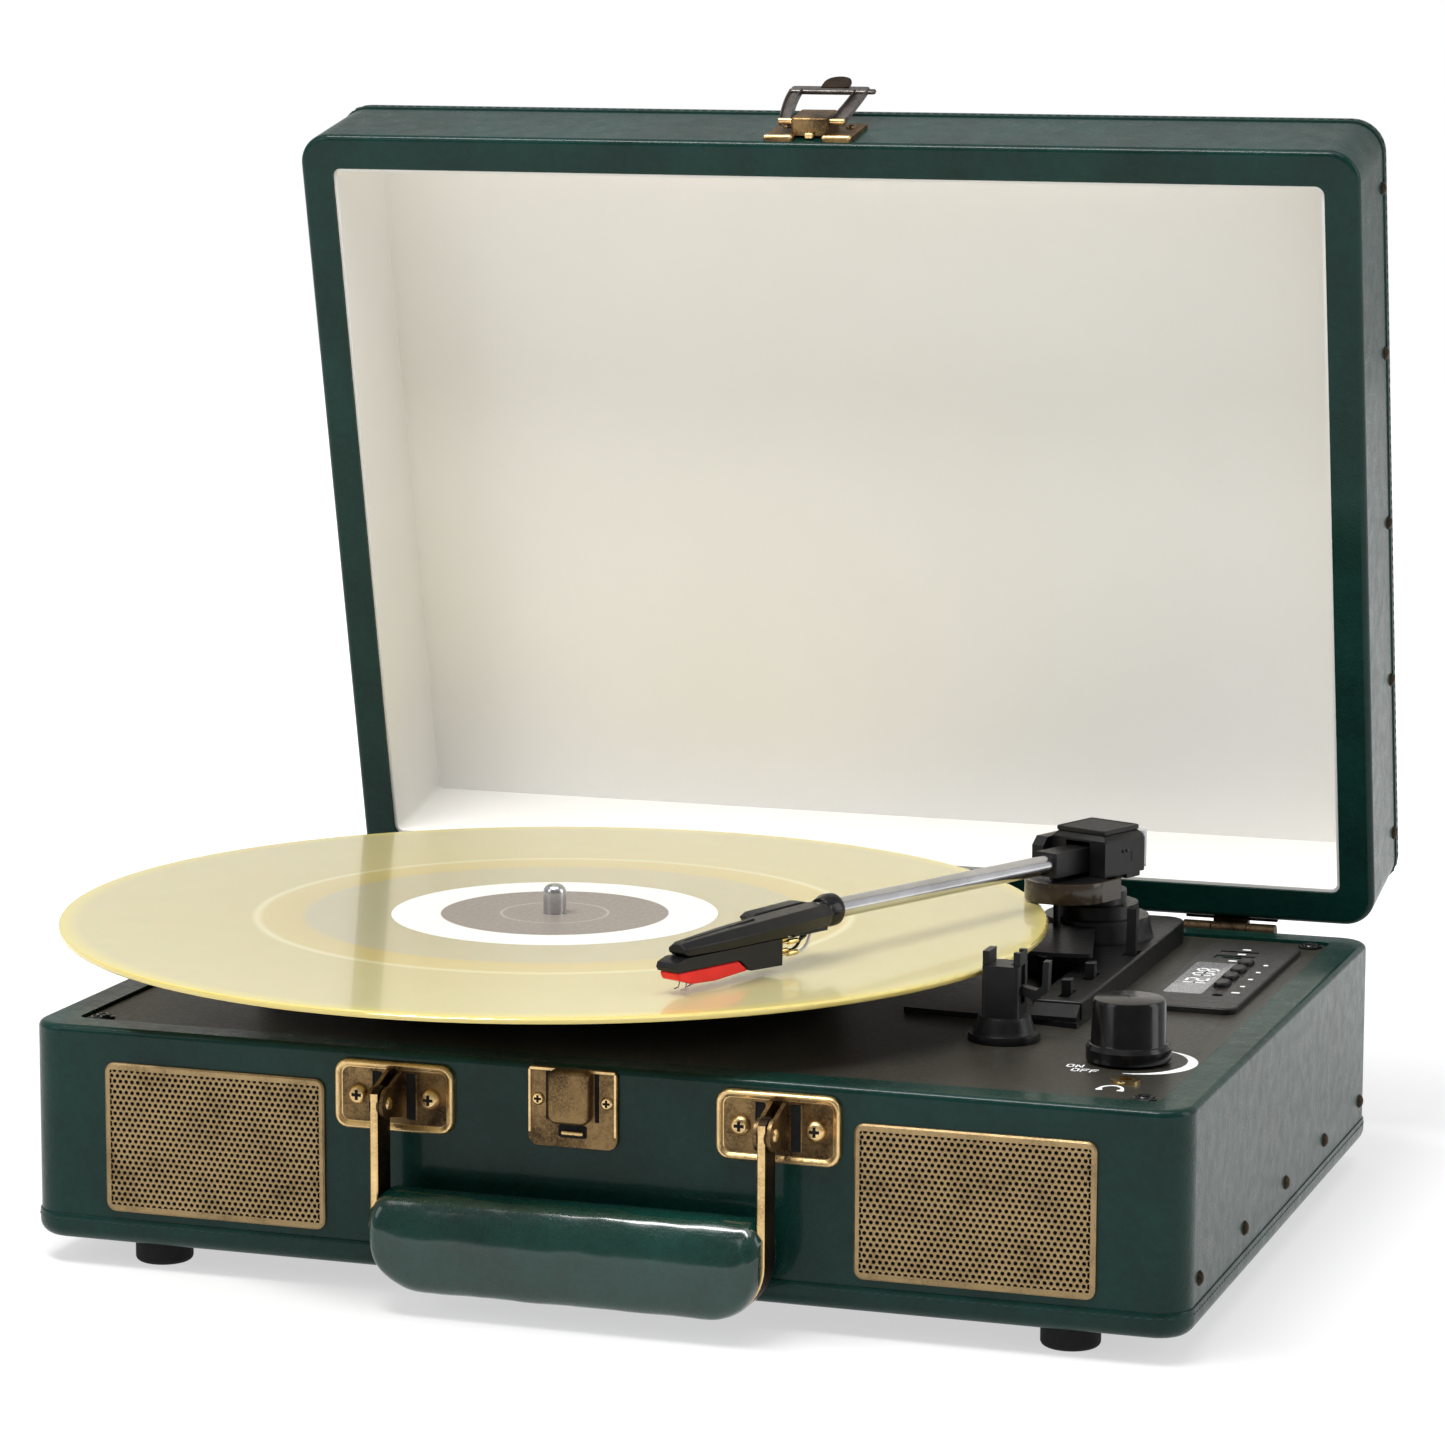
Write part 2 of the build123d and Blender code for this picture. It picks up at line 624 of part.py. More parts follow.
# Turntable drive
with BuildPart() as bearing_bush:
    disc(PLATTER, 8.0, BUSH_BOTTOM, DECK_TOP + 4)
    disc(PLATTER, 12.0, DECK_TOP, DECK_TOP + 1.5)
    disc(PLATTER, BUSH_BORE_R, BUSH_BOTTOM + 2, DECK_TOP + 4, mode=Mode.SUBTRACT)
write(bearing_bush, "bearing_bush")

with BuildPart() as spindle:
    disc(PLATTER, SPINDLE_R, BUSH_BOTTOM + 2.2, RECORD_TOP + 0.1)
    # a shallow groove divides the shaft from its tip
    disc(PLATTER, SPINDLE_TIP_R - 0.3, RECORD_TOP + 0.1, RECORD_TOP + 0.6)
    disc(PLATTER, SPINDLE_TIP_R, RECORD_TOP + 0.6, SPINDLE_TOP)
    fillet(spindle.faces().sort_by(Axis.Z)[-1].edges(), 2.6)
write(spindle, "spindle")

with BuildPart() as platter:
    disc(PLATTER, PLATTER_R, SKIRT_BOTTOM, PLATTER_TOP)
    disc(PLATTER, PLATTER_R - 3, SKIRT_BOTTOM, PLATTER_UNDER, mode=Mode.SUBTRACT)
    disc(PLATTER, DRIVE_R, DRIVE_BOTTOM, PLATTER_UNDER)
    disc(PLATTER, DRIVE_R - 4, DRIVE_BOTTOM, PLATTER_UNDER, mode=Mode.SUBTRACT)
    disc(PLATTER, 10.0, SKIRT_BOTTOM - 2, PLATTER_UNDER)
    disc(PLATTER, SPINDLE_R, SKIRT_BOTTOM - 2, PLATTER_TOP, mode=Mode.SUBTRACT)
write(platter, "platter")

with BuildPart() as slipmat:
    disc(PLATTER, PLATTER_R - 1, PLATTER_TOP, RECORD_UNDER)
    disc(PLATTER, SPINDLE_R + 0.3, PLATTER_TOP, RECORD_UNDER, mode=Mode.SUBTRACT)
write(slipmat, "slipmat")

with BuildPart() as record:
    disc(PLATTER, RECORD_R, RECORD_UNDER, RECORD_TOP)
    fillet(record.edges(), 0.7)
    disc(PLATTER, LABEL_R, RECORD_TOP - LABEL_T, RECORD_TOP, mode=Mode.SUBTRACT)
    disc(PLATTER, RECORD_HOLE_R, RECORD_UNDER, RECORD_TOP, mode=Mode.SUBTRACT)
write(record, "record")

with BuildPart() as record_label:
    disc(PLATTER, LABEL_R, RECORD_TOP - LABEL_T, RECORD_TOP)
    disc(PLATTER, RECORD_HOLE_R, RECORD_TOP - LABEL_T, RECORD_TOP, mode=Mode.SUBTRACT)
write(record_label, "record_label")

with BuildPart() as motor:
    disc(MOTOR, MOTOR_R, DECK_UNDER - 24, DECK_UNDER)
    fillet(motor.faces().sort_by(Axis.Z)[0].edges(), 1.5)
    disc(MOTOR, 3.0, DECK_UNDER, DECK_TOP)
    disc(MOTOR, MOTOR_SHAFT_R + RUNNING, DECK_UNDER - 20, DECK_TOP, mode=Mode.SUBTRACT)
write(motor, "motor")

with BuildPart() as motor_pulley:
    disc(MOTOR, MOTOR_SHAFT_R, DECK_UNDER - 19.5, BELT_BOTTOM)
    disc(MOTOR, PULLEY_R, BELT_BOTTOM - 0.5, BELT_BOTTOM + BELT_H + 0.5)
    for bottom in (BELT_BOTTOM - 1.5, BELT_BOTTOM + BELT_H + 0.5):
        disc(MOTOR, PULLEY_R + 1.5, bottom, bottom + 1.0)
write(motor_pulley, "motor_pulley")


def belt_outline(gap):
    """The outline of a belt that clears both rims by gap."""
    with BuildSketch(level(BELT_BOTTOM)) as outline:
        with Locations(PLATTER):
            Circle(DRIVE_R + gap)
        with Locations(MOTOR):
            Circle(PULLEY_R + gap)
        make_hull()
    return outline.sketch


with BuildPart() as drive_belt:
    extrude(belt_outline(BELT_GAP + BELT_T), amount=BELT_H)
    extrude(belt_outline(BELT_GAP), amount=BELT_H, mode=Mode.SUBTRACT)
write(drive_belt, "drive_belt")

# Armboard and its fittings
BOARD_RIGHT = 117.5
BOARD_REAR = 112.5
with BuildPart() as armboard:
    with BuildSketch(level(DECK_TOP)) as low_plate:
        with BuildLine():
            Polyline(
                (63, -24), (101, -27), (BOARD_RIGHT, -30), (BOARD_RIGHT, BOARD_REAR),
                (72, BOARD_REAR), (64, 96), close=True,
            )
        make_face()
        fillet(low_plate.vertices().group_by(Axis.Y)[-1], 7)
    extrude(low_plate.sketch, amount=1.6)
    with BuildSketch(level(DECK_TOP + 1.6)) as high_plate:
        with BuildLine():
            Polyline(
                (102.5, -24), (BOARD_RIGHT, -24), (BOARD_RIGHT, BOARD_REAR),
                (74, BOARD_REAR), (74, 50), (88, 36), (102.5, 28), close=True,
            )
        make_face()
        fillet(high_plate.vertices().group_by(Axis.Y)[-1], 7)
    extrude(high_plate.sketch, amount=ARM_BOARD_TOP - DECK_TOP - 1.6)
    fillet(armboard.faces().sort_by(Axis.Z)[-1].edges(), 0.8)
    ramp = [
        (-24, DECK_TOP + 1.6),
        (-28.5, DECK_TOP + 1.6),
        (-28.5, DECK_TOP + 3.0),
        (-24, ARM_BOARD_TOP - 1.0),
    ]
    bar(facing_right(103.0), ramp, BOARD_RIGHT - 103.5)
    for switch in (SPEED_SWITCH, STOP_SWITCH):
        low = (switch[0] - 1.6, switch[1] - 5.5, ARM_BOARD_TOP - 3)
        high = (switch[0] + 1.6, switch[1] + 5.5, ARM_BOARD_TOP)
        block(low, high, mode=Mode.SUBTRACT)
    low = (CUE[0] - 2.2, CUE[1] - 4.5, ARM_BOARD_TOP - 4.2)
    high = (CUE[0] + 2.2, CUE[1] + 4.5, ARM_BOARD_TOP)
    block(low, high, mode=Mode.SUBTRACT)
    peg(facing_right(CUE[0] - 3.2), (CUE[1], ARM_BOARD_TOP - 1.6), CUE_PIN_R, 6.4, Mode.SUBTRACT)
    post_reach = HEAD.from_local_coords((LIFT_POST, 0, 0))
    disc((post_reach.X, post_reach.Y), 1.45, DECK_TOP, ARM_BOARD_TOP, mode=Mode.SUBTRACT)
write(armboard, "armboard")

COLUMN_TOP = HEAD_BOTTOM - 2.6
with BuildPart() as pivot_column:
    with BuildSketch(level(ARM_BOARD_TOP)) as base:
        with Locations(ARM_PIVOT):
            Circle(18.0)
    extrude(base.sketch, amount=7, taper=14)
    disc(ARM_PIVOT, 13.0, ARM_BOARD_TOP + 7, ARM_BOARD_TOP + 11.0)
    disc(ARM_PIVOT, 9.3, ARM_BOARD_TOP + 11.0, ARM_BOARD_TOP + 15.0)
    disc(ARM_PIVOT, 5.5, ARM_BOARD_TOP + 15.0, COLUMN_TOP - 0.4)
    disc(ARM_PIVOT, YAW_R + RUNNING, ARM_BOARD_TOP + 2, COLUMN_TOP, mode=Mode.SUBTRACT)
write(pivot_column, "pivot_column")

with BuildPart() as lift_platform:
    with BuildSketch(level(LIFT_FLOOR)) as outline:
        with Locations(ARM_PIVOT):
            Circle(LIFT_OUT)
            Circle(LIFT_IN, mode=Mode.SUBTRACT)
        with BuildLine():
            far = 120
            edge_a = Vector(ARM_X, ARM_Y) + Vector(0, -far).rotate(Axis.Z, -32)
            edge_b = Vector(ARM_X, ARM_Y) + Vector(0, -far).rotate(Axis.Z, 13)
            Polyline(ARM_PIVOT, edge_a, edge_b, close=True)
        make_face(mode=Mode.INTERSECT)
        fillet(outline.vertices(), 1.2)
    extrude(outline.sketch, amount=LIFT_T)
    post_spot = (post_reach.X, post_reach.Y)
    disc(post_spot, 1.2, ARM_BOARD_TOP - 3.5, LIFT_FLOOR)
    disc(post_spot, 1.2, LIFT_FLOOR, ARM_Z - 10.0)
write(lift_platform, "lift_platform")

with BuildPart() as cue_lever:
    lever_z = ARM_BOARD_TOP - 1.6
    lever = [
        (CUE[1] - 1.6, lever_z - 1.2),
        (CUE[1] + 1.6, lever_z - 1.2),
        (CUE[1] + 3.4, lever_z + 14.5),
        (CUE[1] + 2.2, lever_z + 16.0),
        (CUE[1] - 0.4, lever_z + 15.5),
    ]
    bar(facing_right(CUE[0] - 1.5), lever, 3.0)
    peg(facing_right(CUE[0] - 3.0), (CUE[1], lever_z), CUE_PIN_R - RUNNING, 6.0)
write(cue_lever, "cue_lever")

for name, switch in (("speed_switch", SPEED_SWITCH), ("stop_switch", STOP_SWITCH)):
    with BuildPart() as slider:
        half = SWITCH_W / 2
        low = (switch[0] - half + 0.3, switch[1] - half, ARM_BOARD_TOP - 2.9)
        high = (switch[0] + half - 0.3, switch[1] + half, ARM_BOARD_TOP + 4.6)
        block(low, high)
        fillet(slider.faces().sort_by(Axis.Z)[-1].edges(), 0.5)
    write(slider, name)

with BuildPart() as rest_post:
    disc(REST, 10.5, DECK_TOP, DECK_TOP + 2.4)
    with BuildSketch(level(DECK_TOP + 2.4)) as base:
        with Locations(REST):
            Circle(9.2)
    extrude(base.sketch, amount=5, taper=18)
    low = (REST[0] - REST_W / 2, REST[1] - REST_W / 2, DECK_TOP + 7.4)
    high = (REST[0] + REST_W / 2, REST[1] + REST_W / 2, CASE_BOTTOM + 85.5)
    block(low, high, 1.0)
    for side in (-1, 1):
        low_x = REST[0] + side * PRONG_X - PRONG_T / 2
        low = (low_x, REST[1] - 4, CASE_BOTTOM + 85.5)
        block(low, (low_x + PRONG_T, REST[1] + 4, CASE_BOTTOM + 89.5))
    hinge_z = CASE_BOTTOM + 78.0
    low = (REST[0] + REST_W / 2 - 3.2, REST[1] - 2.1, hinge_z - 4)
    high = (REST[0] + REST_W / 2, REST[1] + 2.1, CASE_BOTTOM + 90)
    block(low, high, mode=Mode.SUBTRACT)
    peg(
        facing_front(REST[1] + 4), (REST[0] + REST_W / 2 - 1.2, hinge_z), 0.75, 8,
        mode=Mode.SUBTRACT,
    )
write(rest_post, "rest_post")

CLIP_X = REST[0] + REST_W / 2 - 1.2
with BuildPart() as rest_clip:
    peg(facing_front(REST[1] + 3.9), (CLIP_X, hinge_z), 0.7, 7.8)
    with BuildSketch(facing_front(REST[1] + 1.8)) as hook:
        with BuildLine():
            Polyline(
                (CLIP_X - 0.9, hinge_z - 0.9), (CLIP_X + 1.0, hinge_z - 1.1),
                (CLIP_X + CLIP_REACH, hinge_z - 2.6), (CLIP_X + CLIP_REACH + 3.4, hinge_z),
                (CLIP_X + CLIP_REACH + 3.8, hinge_z + 9), (CLIP_X + CLIP_REACH + 2.0, hinge_z + 9),
                (CLIP_X + CLIP_REACH + 1.8, hinge_z + 2), (CLIP_X + CLIP_REACH, hinge_z + 0.4),
                (CLIP_X + 1.2, hinge_z + 1.4), (CLIP_X - 0.9, hinge_z + 0.9), close=True,
            )
        make_face()
    extrude(hook.sketch, amount=3.6)
write(rest_clip, "rest_clip")

# Tonearm: the head turns on the column, and the arm tips inside the head
with BuildPart() as arm_head:
    with BuildSketch(HEAD.offset(HEAD_BOTTOM - ARM_Z)) as outline:
        Rectangle(HEAD_W, HEAD_W)
        fillet(outline.vertices(), 0.8)
    extrude(outline.sketch, amount=HEAD_TOP - HEAD_BOTTOM - 3.2)
    with BuildSketch(HEAD.offset(HEAD_TOP - ARM_Z - 3.2)) as shoulder:
        Rectangle(HEAD_W, HEAD_W)
    extrude(shoulder.sketch, amount=2.0, taper=42)
    with BuildSketch(HEAD.offset(HEAD_TOP - ARM_Z - 1.6)) as cap:
        Rectangle(HEAD_W - 3.4, HEAD_W - 3.4)
    extrude(cap.sketch, amount=1.6)
    # the slot that the arm tips in, open below and in front
    with BuildSketch(HEAD.offset(HEAD_BOTTOM - ARM_Z)) as slot:
        with Locations(((HEAD_W / 2 - SLOT_BACK) / 2 + 0.5, 0)):
            Rectangle(HEAD_W / 2 + SLOT_BACK + 1, SLEEVE_W + 1.0)
    extrude(slot.sketch, amount=SLOT_DEPTH, mode=Mode.SUBTRACT)
    with BuildSketch(HEAD.offset(HEAD_BOTTOM - ARM_Z - 2.2)) as hub:
        Circle(8.0)
    extrude(hub.sketch, amount=2.2)
    disc(ARM_PIVOT, YAW_R, ARM_BOARD_TOP + 2.3, HEAD_BOTTOM - 2.2)
    # the pin that the arm tips on is pressed through both cheeks
    peg(arm_side(HEAD).offset(-HEAD_W / 2), (0, 0), ARM_PIN_R, HEAD_W)
write(arm_head, "arm_head")

with BuildPart() as arm_drum:
    with BuildSketch(HEAD.offset(DRUM_BOTTOM - ARM_Z)) as outline:
        with Locations((DRUM_REACH, 0)):
            Circle(DRUM_R)
        with Locations((DRUM_REACH / 2 + 3, 0)):
            Rectangle(DRUM_REACH - 6, 2 * DRUM_R)
        with Locations((DRUM_REACH, 0)):
            Circle(DRUM_R - DRUM_WALL, mode=Mode.SUBTRACT)
        with Locations((DRUM_REACH / 2 + 2, 0)):
            Rectangle(DRUM_REACH - 4, 2 * (DRUM_R - DRUM_WALL), mode=Mode.SUBTRACT)
        with Locations((-10, 0)):
            Rectangle(32, 40, mode=Mode.SUBTRACT)
    extrude(outline.sketch, amount=HEAD_BOTTOM - DRUM_BOTTOM)
    for side in (-1, 1):
        with BuildSketch(HEAD.offset(HEAD_BOTTOM - ARM_Z - 1.8)) as tab:
            with Locations((8.3, side * 10.6)):
                Rectangle(4.4, 3.8)
        extrude(tab.sketch, amount=1.8)
write(arm_drum, "arm_drum")

with BuildPart() as arm_end_plate:
    bar(
        arm_section(HEAD, -HEAD_W / 2), [(-10, -4.5), (10, -4.5), (10, 7.5), (-10, 7.5)], -2.2
    )
    fillet(arm_end_plate.edges().group_by(Axis.Z)[-1], 0.5)
write(arm_end_plate, "arm_end_plate")

with BuildPart() as arm_sleeve:
    half_h = SLEEVE_H / 2
    sleeve = [
        (SLEEVE_BACK, -half_h), (SLEEVE_FRONT, -half_h),
        (SLEEVE_FRONT, half_h), (SLEEVE_BACK, half_h),
    ]
    bar(arm_side(ARM), sleeve, SLEEVE_W / 2, both=True)
    peg(arm_section(ARM, 12), (0, 0), TUBE_R, SLEEVE_FRONT - 12, mode=Mode.SUBTRACT)
    peg(
        arm_side(HEAD).offset(-SLEEVE_W), (0, 0), ARM_PIN_R + RUNNING, 2 * SLEEVE_W,
        mode=Mode.SUBTRACT,
    )
write(arm_sleeve, "arm_sleeve")

with BuildPart() as arm_tube:
    peg(arm_section(ARM, 12), (0, 0), TUBE_R, COLLAR + 8 - 12)
    peg(arm_section(ARM, 12), (0, 0), TUBE_R - 0.6, COLLAR + 8 - 12, mode=Mode.SUBTRACT)
write(arm_tube, "arm_tube")

with BuildPart() as headshell:
    peg(arm_section(ARM, COLLAR), (0, 0), 4.3, 9)
    shell = [
        (COLLAR + 5, 1.9), (NEEDLE - 34, 1.6), (NEEDLE + 3.8, -0.8), (NEEDLE + 2.6, -4.0),
        (NEEDLE - 42, -4.2), (NEEDLE - 56, -3.0), (COLLAR + 5, -3.2),
    ]
    bar(arm_side(ARM), shell, 3.6, both=True)
    with BuildSketch(ARM.offset(-1.5)) as wing:
        with BuildLine():
            Polyline(
                (COLLAR + 8, -6.4), (NEEDLE - 28, -6.4), (NEEDLE - 22, -3.6),
                (NEEDLE - 14, 3.6), (NEEDLE - 30, 6.0), (COLLAR + 12, 6.0),
                (COLLAR + 6, 3.6), (COLLAR + 4, -3.6), close=True,
            )
        make_face()
    extrude(wing.sketch, amount=2.6)
    peg(arm_section(ARM, COLLAR - 1), (0, 0), TUBE_R, 9, mode=Mode.SUBTRACT)
write(headshell, "headshell")

with BuildPart() as cartridge:
    body = [
        (NEEDLE - 38.5, -4.4), (NEEDLE + 5, -4.4), (NEEDLE + 8.5, -6.0), (NEEDLE + 8.5, -8.0),
        (NEEDLE - 20, -8.2), (NEEDLE - 25, -12.0), (NEEDLE - 38.5, -12.4),
    ]
    bar(arm_side(ARM), body, 3.8, both=True)
write(cartridge, "cartridge")

with BuildPart() as stylus_holder:
    holder = [
        (NEEDLE + 7.6, -8.3), (NEEDLE - 19.6, -8.5), (NEEDLE - 24.0, -11.8),
        (NEEDLE - 8, -12.6), (NEEDLE + 3, -11.8), (NEEDLE + 7.6, -10.0),
    ]
    bar(arm_side(ARM), holder, 3.5, both=True)
write(stylus_holder, "stylus_holder")

with BuildPart() as needle:
    tip_depth = RECORD_TOP + NEEDLE_GAP - ARM.from_local_coords((NEEDLE, 0, 0)).Z
    lever = [
        (NEEDLE - 7, -12.55), (NEEDLE - 8, -12.6), (NEEDLE - 0.4, tip_depth + 1.6),
        (NEEDLE + 0.4, tip_depth + 1.9),
    ]
    bar(arm_side(ARM), lever, 0.3, both=True)
    point = [
        (NEEDLE - 0.3, tip_depth + 2.0), (NEEDLE + 0.3, tip_depth + 2.0),
        (NEEDLE + 0.1, tip_depth), (NEEDLE - 0.1, tip_depth),
    ]
    bar(arm_side(ARM), point, 0.25, both=True)
write(needle, "needle")

# Control panel
with BuildPart() as control_panel:
    block((PANEL_LEFT, PANEL_FRONT, DECK_TOP), (PANEL_RIGHT, PANEL_REAR, PANEL_TOP), 4)
    fillet(control_panel.faces().sort_by(Axis.Z)[-1].edges(), 0.6)
    low = (131.0, 21.0, PANEL_TOP - 1.0)
    block(low, (139.5, 68.0, PANEL_TOP), 0.8, mode=Mode.SUBTRACT)
    for y in BUTTON_YS:
        with BuildSketch(level(DECK_TOP)) as hole:
            with Locations((BUTTON_X, y)):
                SlotOverall(BUTTON_L + 0.6, BUTTON_W + 0.6, rotation=90)
        extrude(hole.sketch, amount=PANEL_T, mode=Mode.SUBTRACT)
    disc((147.8, 21.6), 1.8, DECK_TOP, PANEL_TOP, mode=Mode.SUBTRACT)
    block((134.0, 76.0, DECK_TOP), (146.4, 81.0, PANEL_TOP), mode=Mode.SUBTRACT)
    block((134.0, 86.0, DECK_TOP), (146.2, 88.0, PANEL_TOP), mode=Mode.SUBTRACT)
write(control_panel, "control_panel")

with BuildPart() as display_window:
    block((131.0, 21.0, PANEL_TOP - 1.0), (139.5, 68.0, PANEL_TOP + 0.1), 0.8)
write(display_window, "display_window")

BOARD_TOP = DECK_TOP - 6.5
with BuildPart() as panel_board:
    low = (PANEL_LEFT + 4, PANEL_FRONT + 6, BOARD_TOP - 1.6)
    block(low, (PANEL_RIGHT - 4, PANEL_REAR - 6, BOARD_TOP))
    block((134.3, 76.3, BOARD_TOP), (146.1, 80.7, PANEL_TOP - 0.3))
    block((136.3, 77.9, BOARD_TOP + 3), (144.1, 79.6, PANEL_TOP - 0.3), mode=Mode.SUBTRACT)
    block((134.3, 86.2, BOARD_TOP), (145.9, 87.8, PANEL_TOP - 0.6))
    for y in BUTTON_YS:
        disc((BUTTON_X, y), 2.0, BOARD_TOP, DECK_TOP - 4.2)
write(panel_board, "panel_board")

for number, y in enumerate(BUTTON_YS, start=1):
    with BuildPart() as button:
        with BuildSketch(level(DECK_TOP - 3.0)) as flange:
            with Locations((BUTTON_X, y)):
                SlotOverall(BUTTON_L + 1.6, BUTTON_W + 1.6, rotation=90)
        extrude(flange.sketch, amount=1.8)
        with BuildSketch(level(DECK_TOP - 1.2)) as cap:
            with Locations((BUTTON_X, y)):
                SlotOverall(BUTTON_L, BUTTON_W, rotation=90)
        extrude(cap.sketch, amount=1.2 + PANEL_T + BUTTON_PROUD)
        fillet(button.faces().sort_by(Axis.Z)[-1].edges(), 0.6)
    write(button, f"button_{number}")

# Volume control and headphone socket
with BuildPart() as volume_knob:
    disc(KNOB, 12.2, DECK_TOP + 0.6, DECK_TOP + 5.4)
    chamfer(volume_knob.faces().sort_by(Axis.Z)[-1].edges(), 1.0)
    disc(KNOB, 10.6, DECK_TOP + 5.0, DECK_TOP + 18.5)
    fillet(volume_knob.faces().sort_by(Axis.Z)[-1].edges(), 0.8)
    disc(KNOB, KNOB_STEM_R, DECK_UNDER - 6, DECK_TOP + 0.8)
write(volume_knob, "volume_knob")

with BuildPart() as volume_control:
    disc(KNOB, 8.5, DECK_UNDER - 9, DECK_UNDER)
    disc(KNOB, 4.0, DECK_UNDER, DECK_TOP)
    disc(KNOB, KNOB_STEM_R + RUNNING, DECK_UNDER - 6.4, DECK_TOP, mode=Mode.SUBTRACT)
write(volume_control, "volume_control")

with BuildPart() as headphone_jack:
    disc(JACK, 5.5, DECK_TOP + 0.8 - JACK_DEPTH - 1, DECK_UNDER)
    disc(JACK, 3.7, DECK_UNDER, DECK_TOP)
    disc(JACK, 4.2, DECK_TOP, DECK_TOP + 0.8)
    disc(JACK, JACK_R, DECK_TOP + 0.8 - JACK_DEPTH, DECK_TOP + 0.8, mode=Mode.SUBTRACT)
write(headphone_jack, "headphone_jack")

# Electronics and rear sockets
MAIN_BOARD_Z = CASE_BOTTOM + FLOOR_T + 8.0
with BuildPart() as main_board:
    block((-38, 50, MAIN_BOARD_Z), (42, 100, MAIN_BOARD_Z + 1.6))
    for x in (-33, 37):
        for y in (55, 95):
            disc((x, y), 3.0, CASE_BOTTOM + FLOOR_T, MAIN_BOARD_Z)
    block((-20, 60, MAIN_BOARD_Z + 1.6), (-4, 64, MAIN_BOARD_Z + 16))
    for x in (8, 22):
        disc((x, 66), 4.0, MAIN_BOARD_Z + 1.6, MAIN_BOARD_Z + 14)
    block((-12, 76, MAIN_BOARD_Z + 1.6), (0, 88, MAIN_BOARD_Z + 3.6))
write(main_board, "main_board")

SOCKET_PLATE_Y = REAR_Y + 1.4
RCA_XS = (-20.0, -6.0)
DC_X = 16.0
SOCKET_Z = 36.0
with BuildPart() as rear_sockets:
    slab(facing_rear(REAR_Y), (0, SOCKET_Z), (72, 24), 3, 1.4)
    slab(facing_rear(REAR_Y), (0, SOCKET_Z), (60, 14), 1, -9)
    for x in RCA_XS:
        peg(facing_rear(SOCKET_PLATE_Y), (-x, SOCKET_Z), 4.1, 9)
        peg(facing_rear(SOCKET_PLATE_Y), (-x, SOCKET_Z), 1.65, 9, mode=Mode.SUBTRACT)
    peg(facing_rear(SOCKET_PLATE_Y), (-DC_X, SOCKET_Z), 2.75, -9, mode=Mode.SUBTRACT)
    peg(facing_rear(SOCKET_PLATE_Y - 9), (-DC_X, SOCKET_Z), 1.0, 8)
write(rear_sockets, "rear_sockets")
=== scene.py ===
import json
from math import copysign, cos, hypot, pi, radians, sin, sqrt

import bmesh
import bpy
from mathutils import Matrix, Vector, noise


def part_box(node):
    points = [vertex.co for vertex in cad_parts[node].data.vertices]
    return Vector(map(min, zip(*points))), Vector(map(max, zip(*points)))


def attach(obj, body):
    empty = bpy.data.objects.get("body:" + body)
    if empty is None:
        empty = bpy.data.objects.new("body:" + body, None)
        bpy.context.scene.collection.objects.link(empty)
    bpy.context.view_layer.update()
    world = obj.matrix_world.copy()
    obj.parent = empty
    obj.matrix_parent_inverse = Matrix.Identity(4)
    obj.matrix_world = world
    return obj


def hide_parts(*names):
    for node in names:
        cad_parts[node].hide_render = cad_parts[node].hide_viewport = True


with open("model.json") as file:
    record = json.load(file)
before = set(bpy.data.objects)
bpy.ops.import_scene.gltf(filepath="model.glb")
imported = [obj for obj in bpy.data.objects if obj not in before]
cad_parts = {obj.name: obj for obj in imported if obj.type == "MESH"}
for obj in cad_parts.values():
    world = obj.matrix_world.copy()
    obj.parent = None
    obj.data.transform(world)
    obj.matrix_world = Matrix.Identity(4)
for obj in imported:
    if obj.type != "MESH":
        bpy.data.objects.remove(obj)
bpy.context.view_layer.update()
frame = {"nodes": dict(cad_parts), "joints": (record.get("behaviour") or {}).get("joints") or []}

MM = 0.001
NODES = frame["nodes"]
JOINTS = {joint["name"]: joint for joint in frame["joints"]}

# ---- places
# Lengths are in millimetres about the middle of the case, on the floor, as in the CAD model.
case_low, case_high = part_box("case_shell")
MIDDLE = Vector(((case_low.x + case_high.x) / 2, (case_low.y + case_high.y) / 2, 0.0))
CASE_W = (case_high.x - case_low.x) / MM
CASE_D = (case_high.y - case_low.y) / MM
CASE_BOTTOM = case_low.z / MM
CASE_TOP = case_high.z / MM
FRONT_Y = -CASE_D / 2
REAR_Y = CASE_D / 2
CORNER_R = 10.0
LID_BOTTOM = CASE_TOP + 0.4
LID_H = 43.4
LID_OPEN = radians(77.7)
ARM_TURN = radians(21.7)
ARM_RISE = radians(0.8)


def at(x, y, z):
    """A point in metres from millimetres about the middle of the case."""
    return MIDDLE + Vector((x, y, z)) * MM


def place(point):
    """Millimetres about the middle of the case from a point in metres."""
    return (Vector(point) - MIDDLE) / MM


def box_of(node):
    """The low and high corners of a CAD piece, in the same millimetres."""
    return [place(corner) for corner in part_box(node)]


def middle_of(node):
    low, high = box_of(node)
    return (low + high) / 2


class Frame:
    """Somewhere to draw: x, y and z in millimetres from an origin; z comes out of the sheet."""

    def __init__(self, origin, x, y):
        self.origin = Vector(origin)
        self.x = Vector(x).normalized()
        self.y = Vector(y).normalized()
        self.z = self.x.cross(self.y)

    def to(self, x, y, z=0.0):
        return self.origin + (self.x * x + self.y * y + self.z * z) * MM

    def moved(self, x, y, z=0.0):
        return Frame(self.to(x, y, z), self.x, self.y)


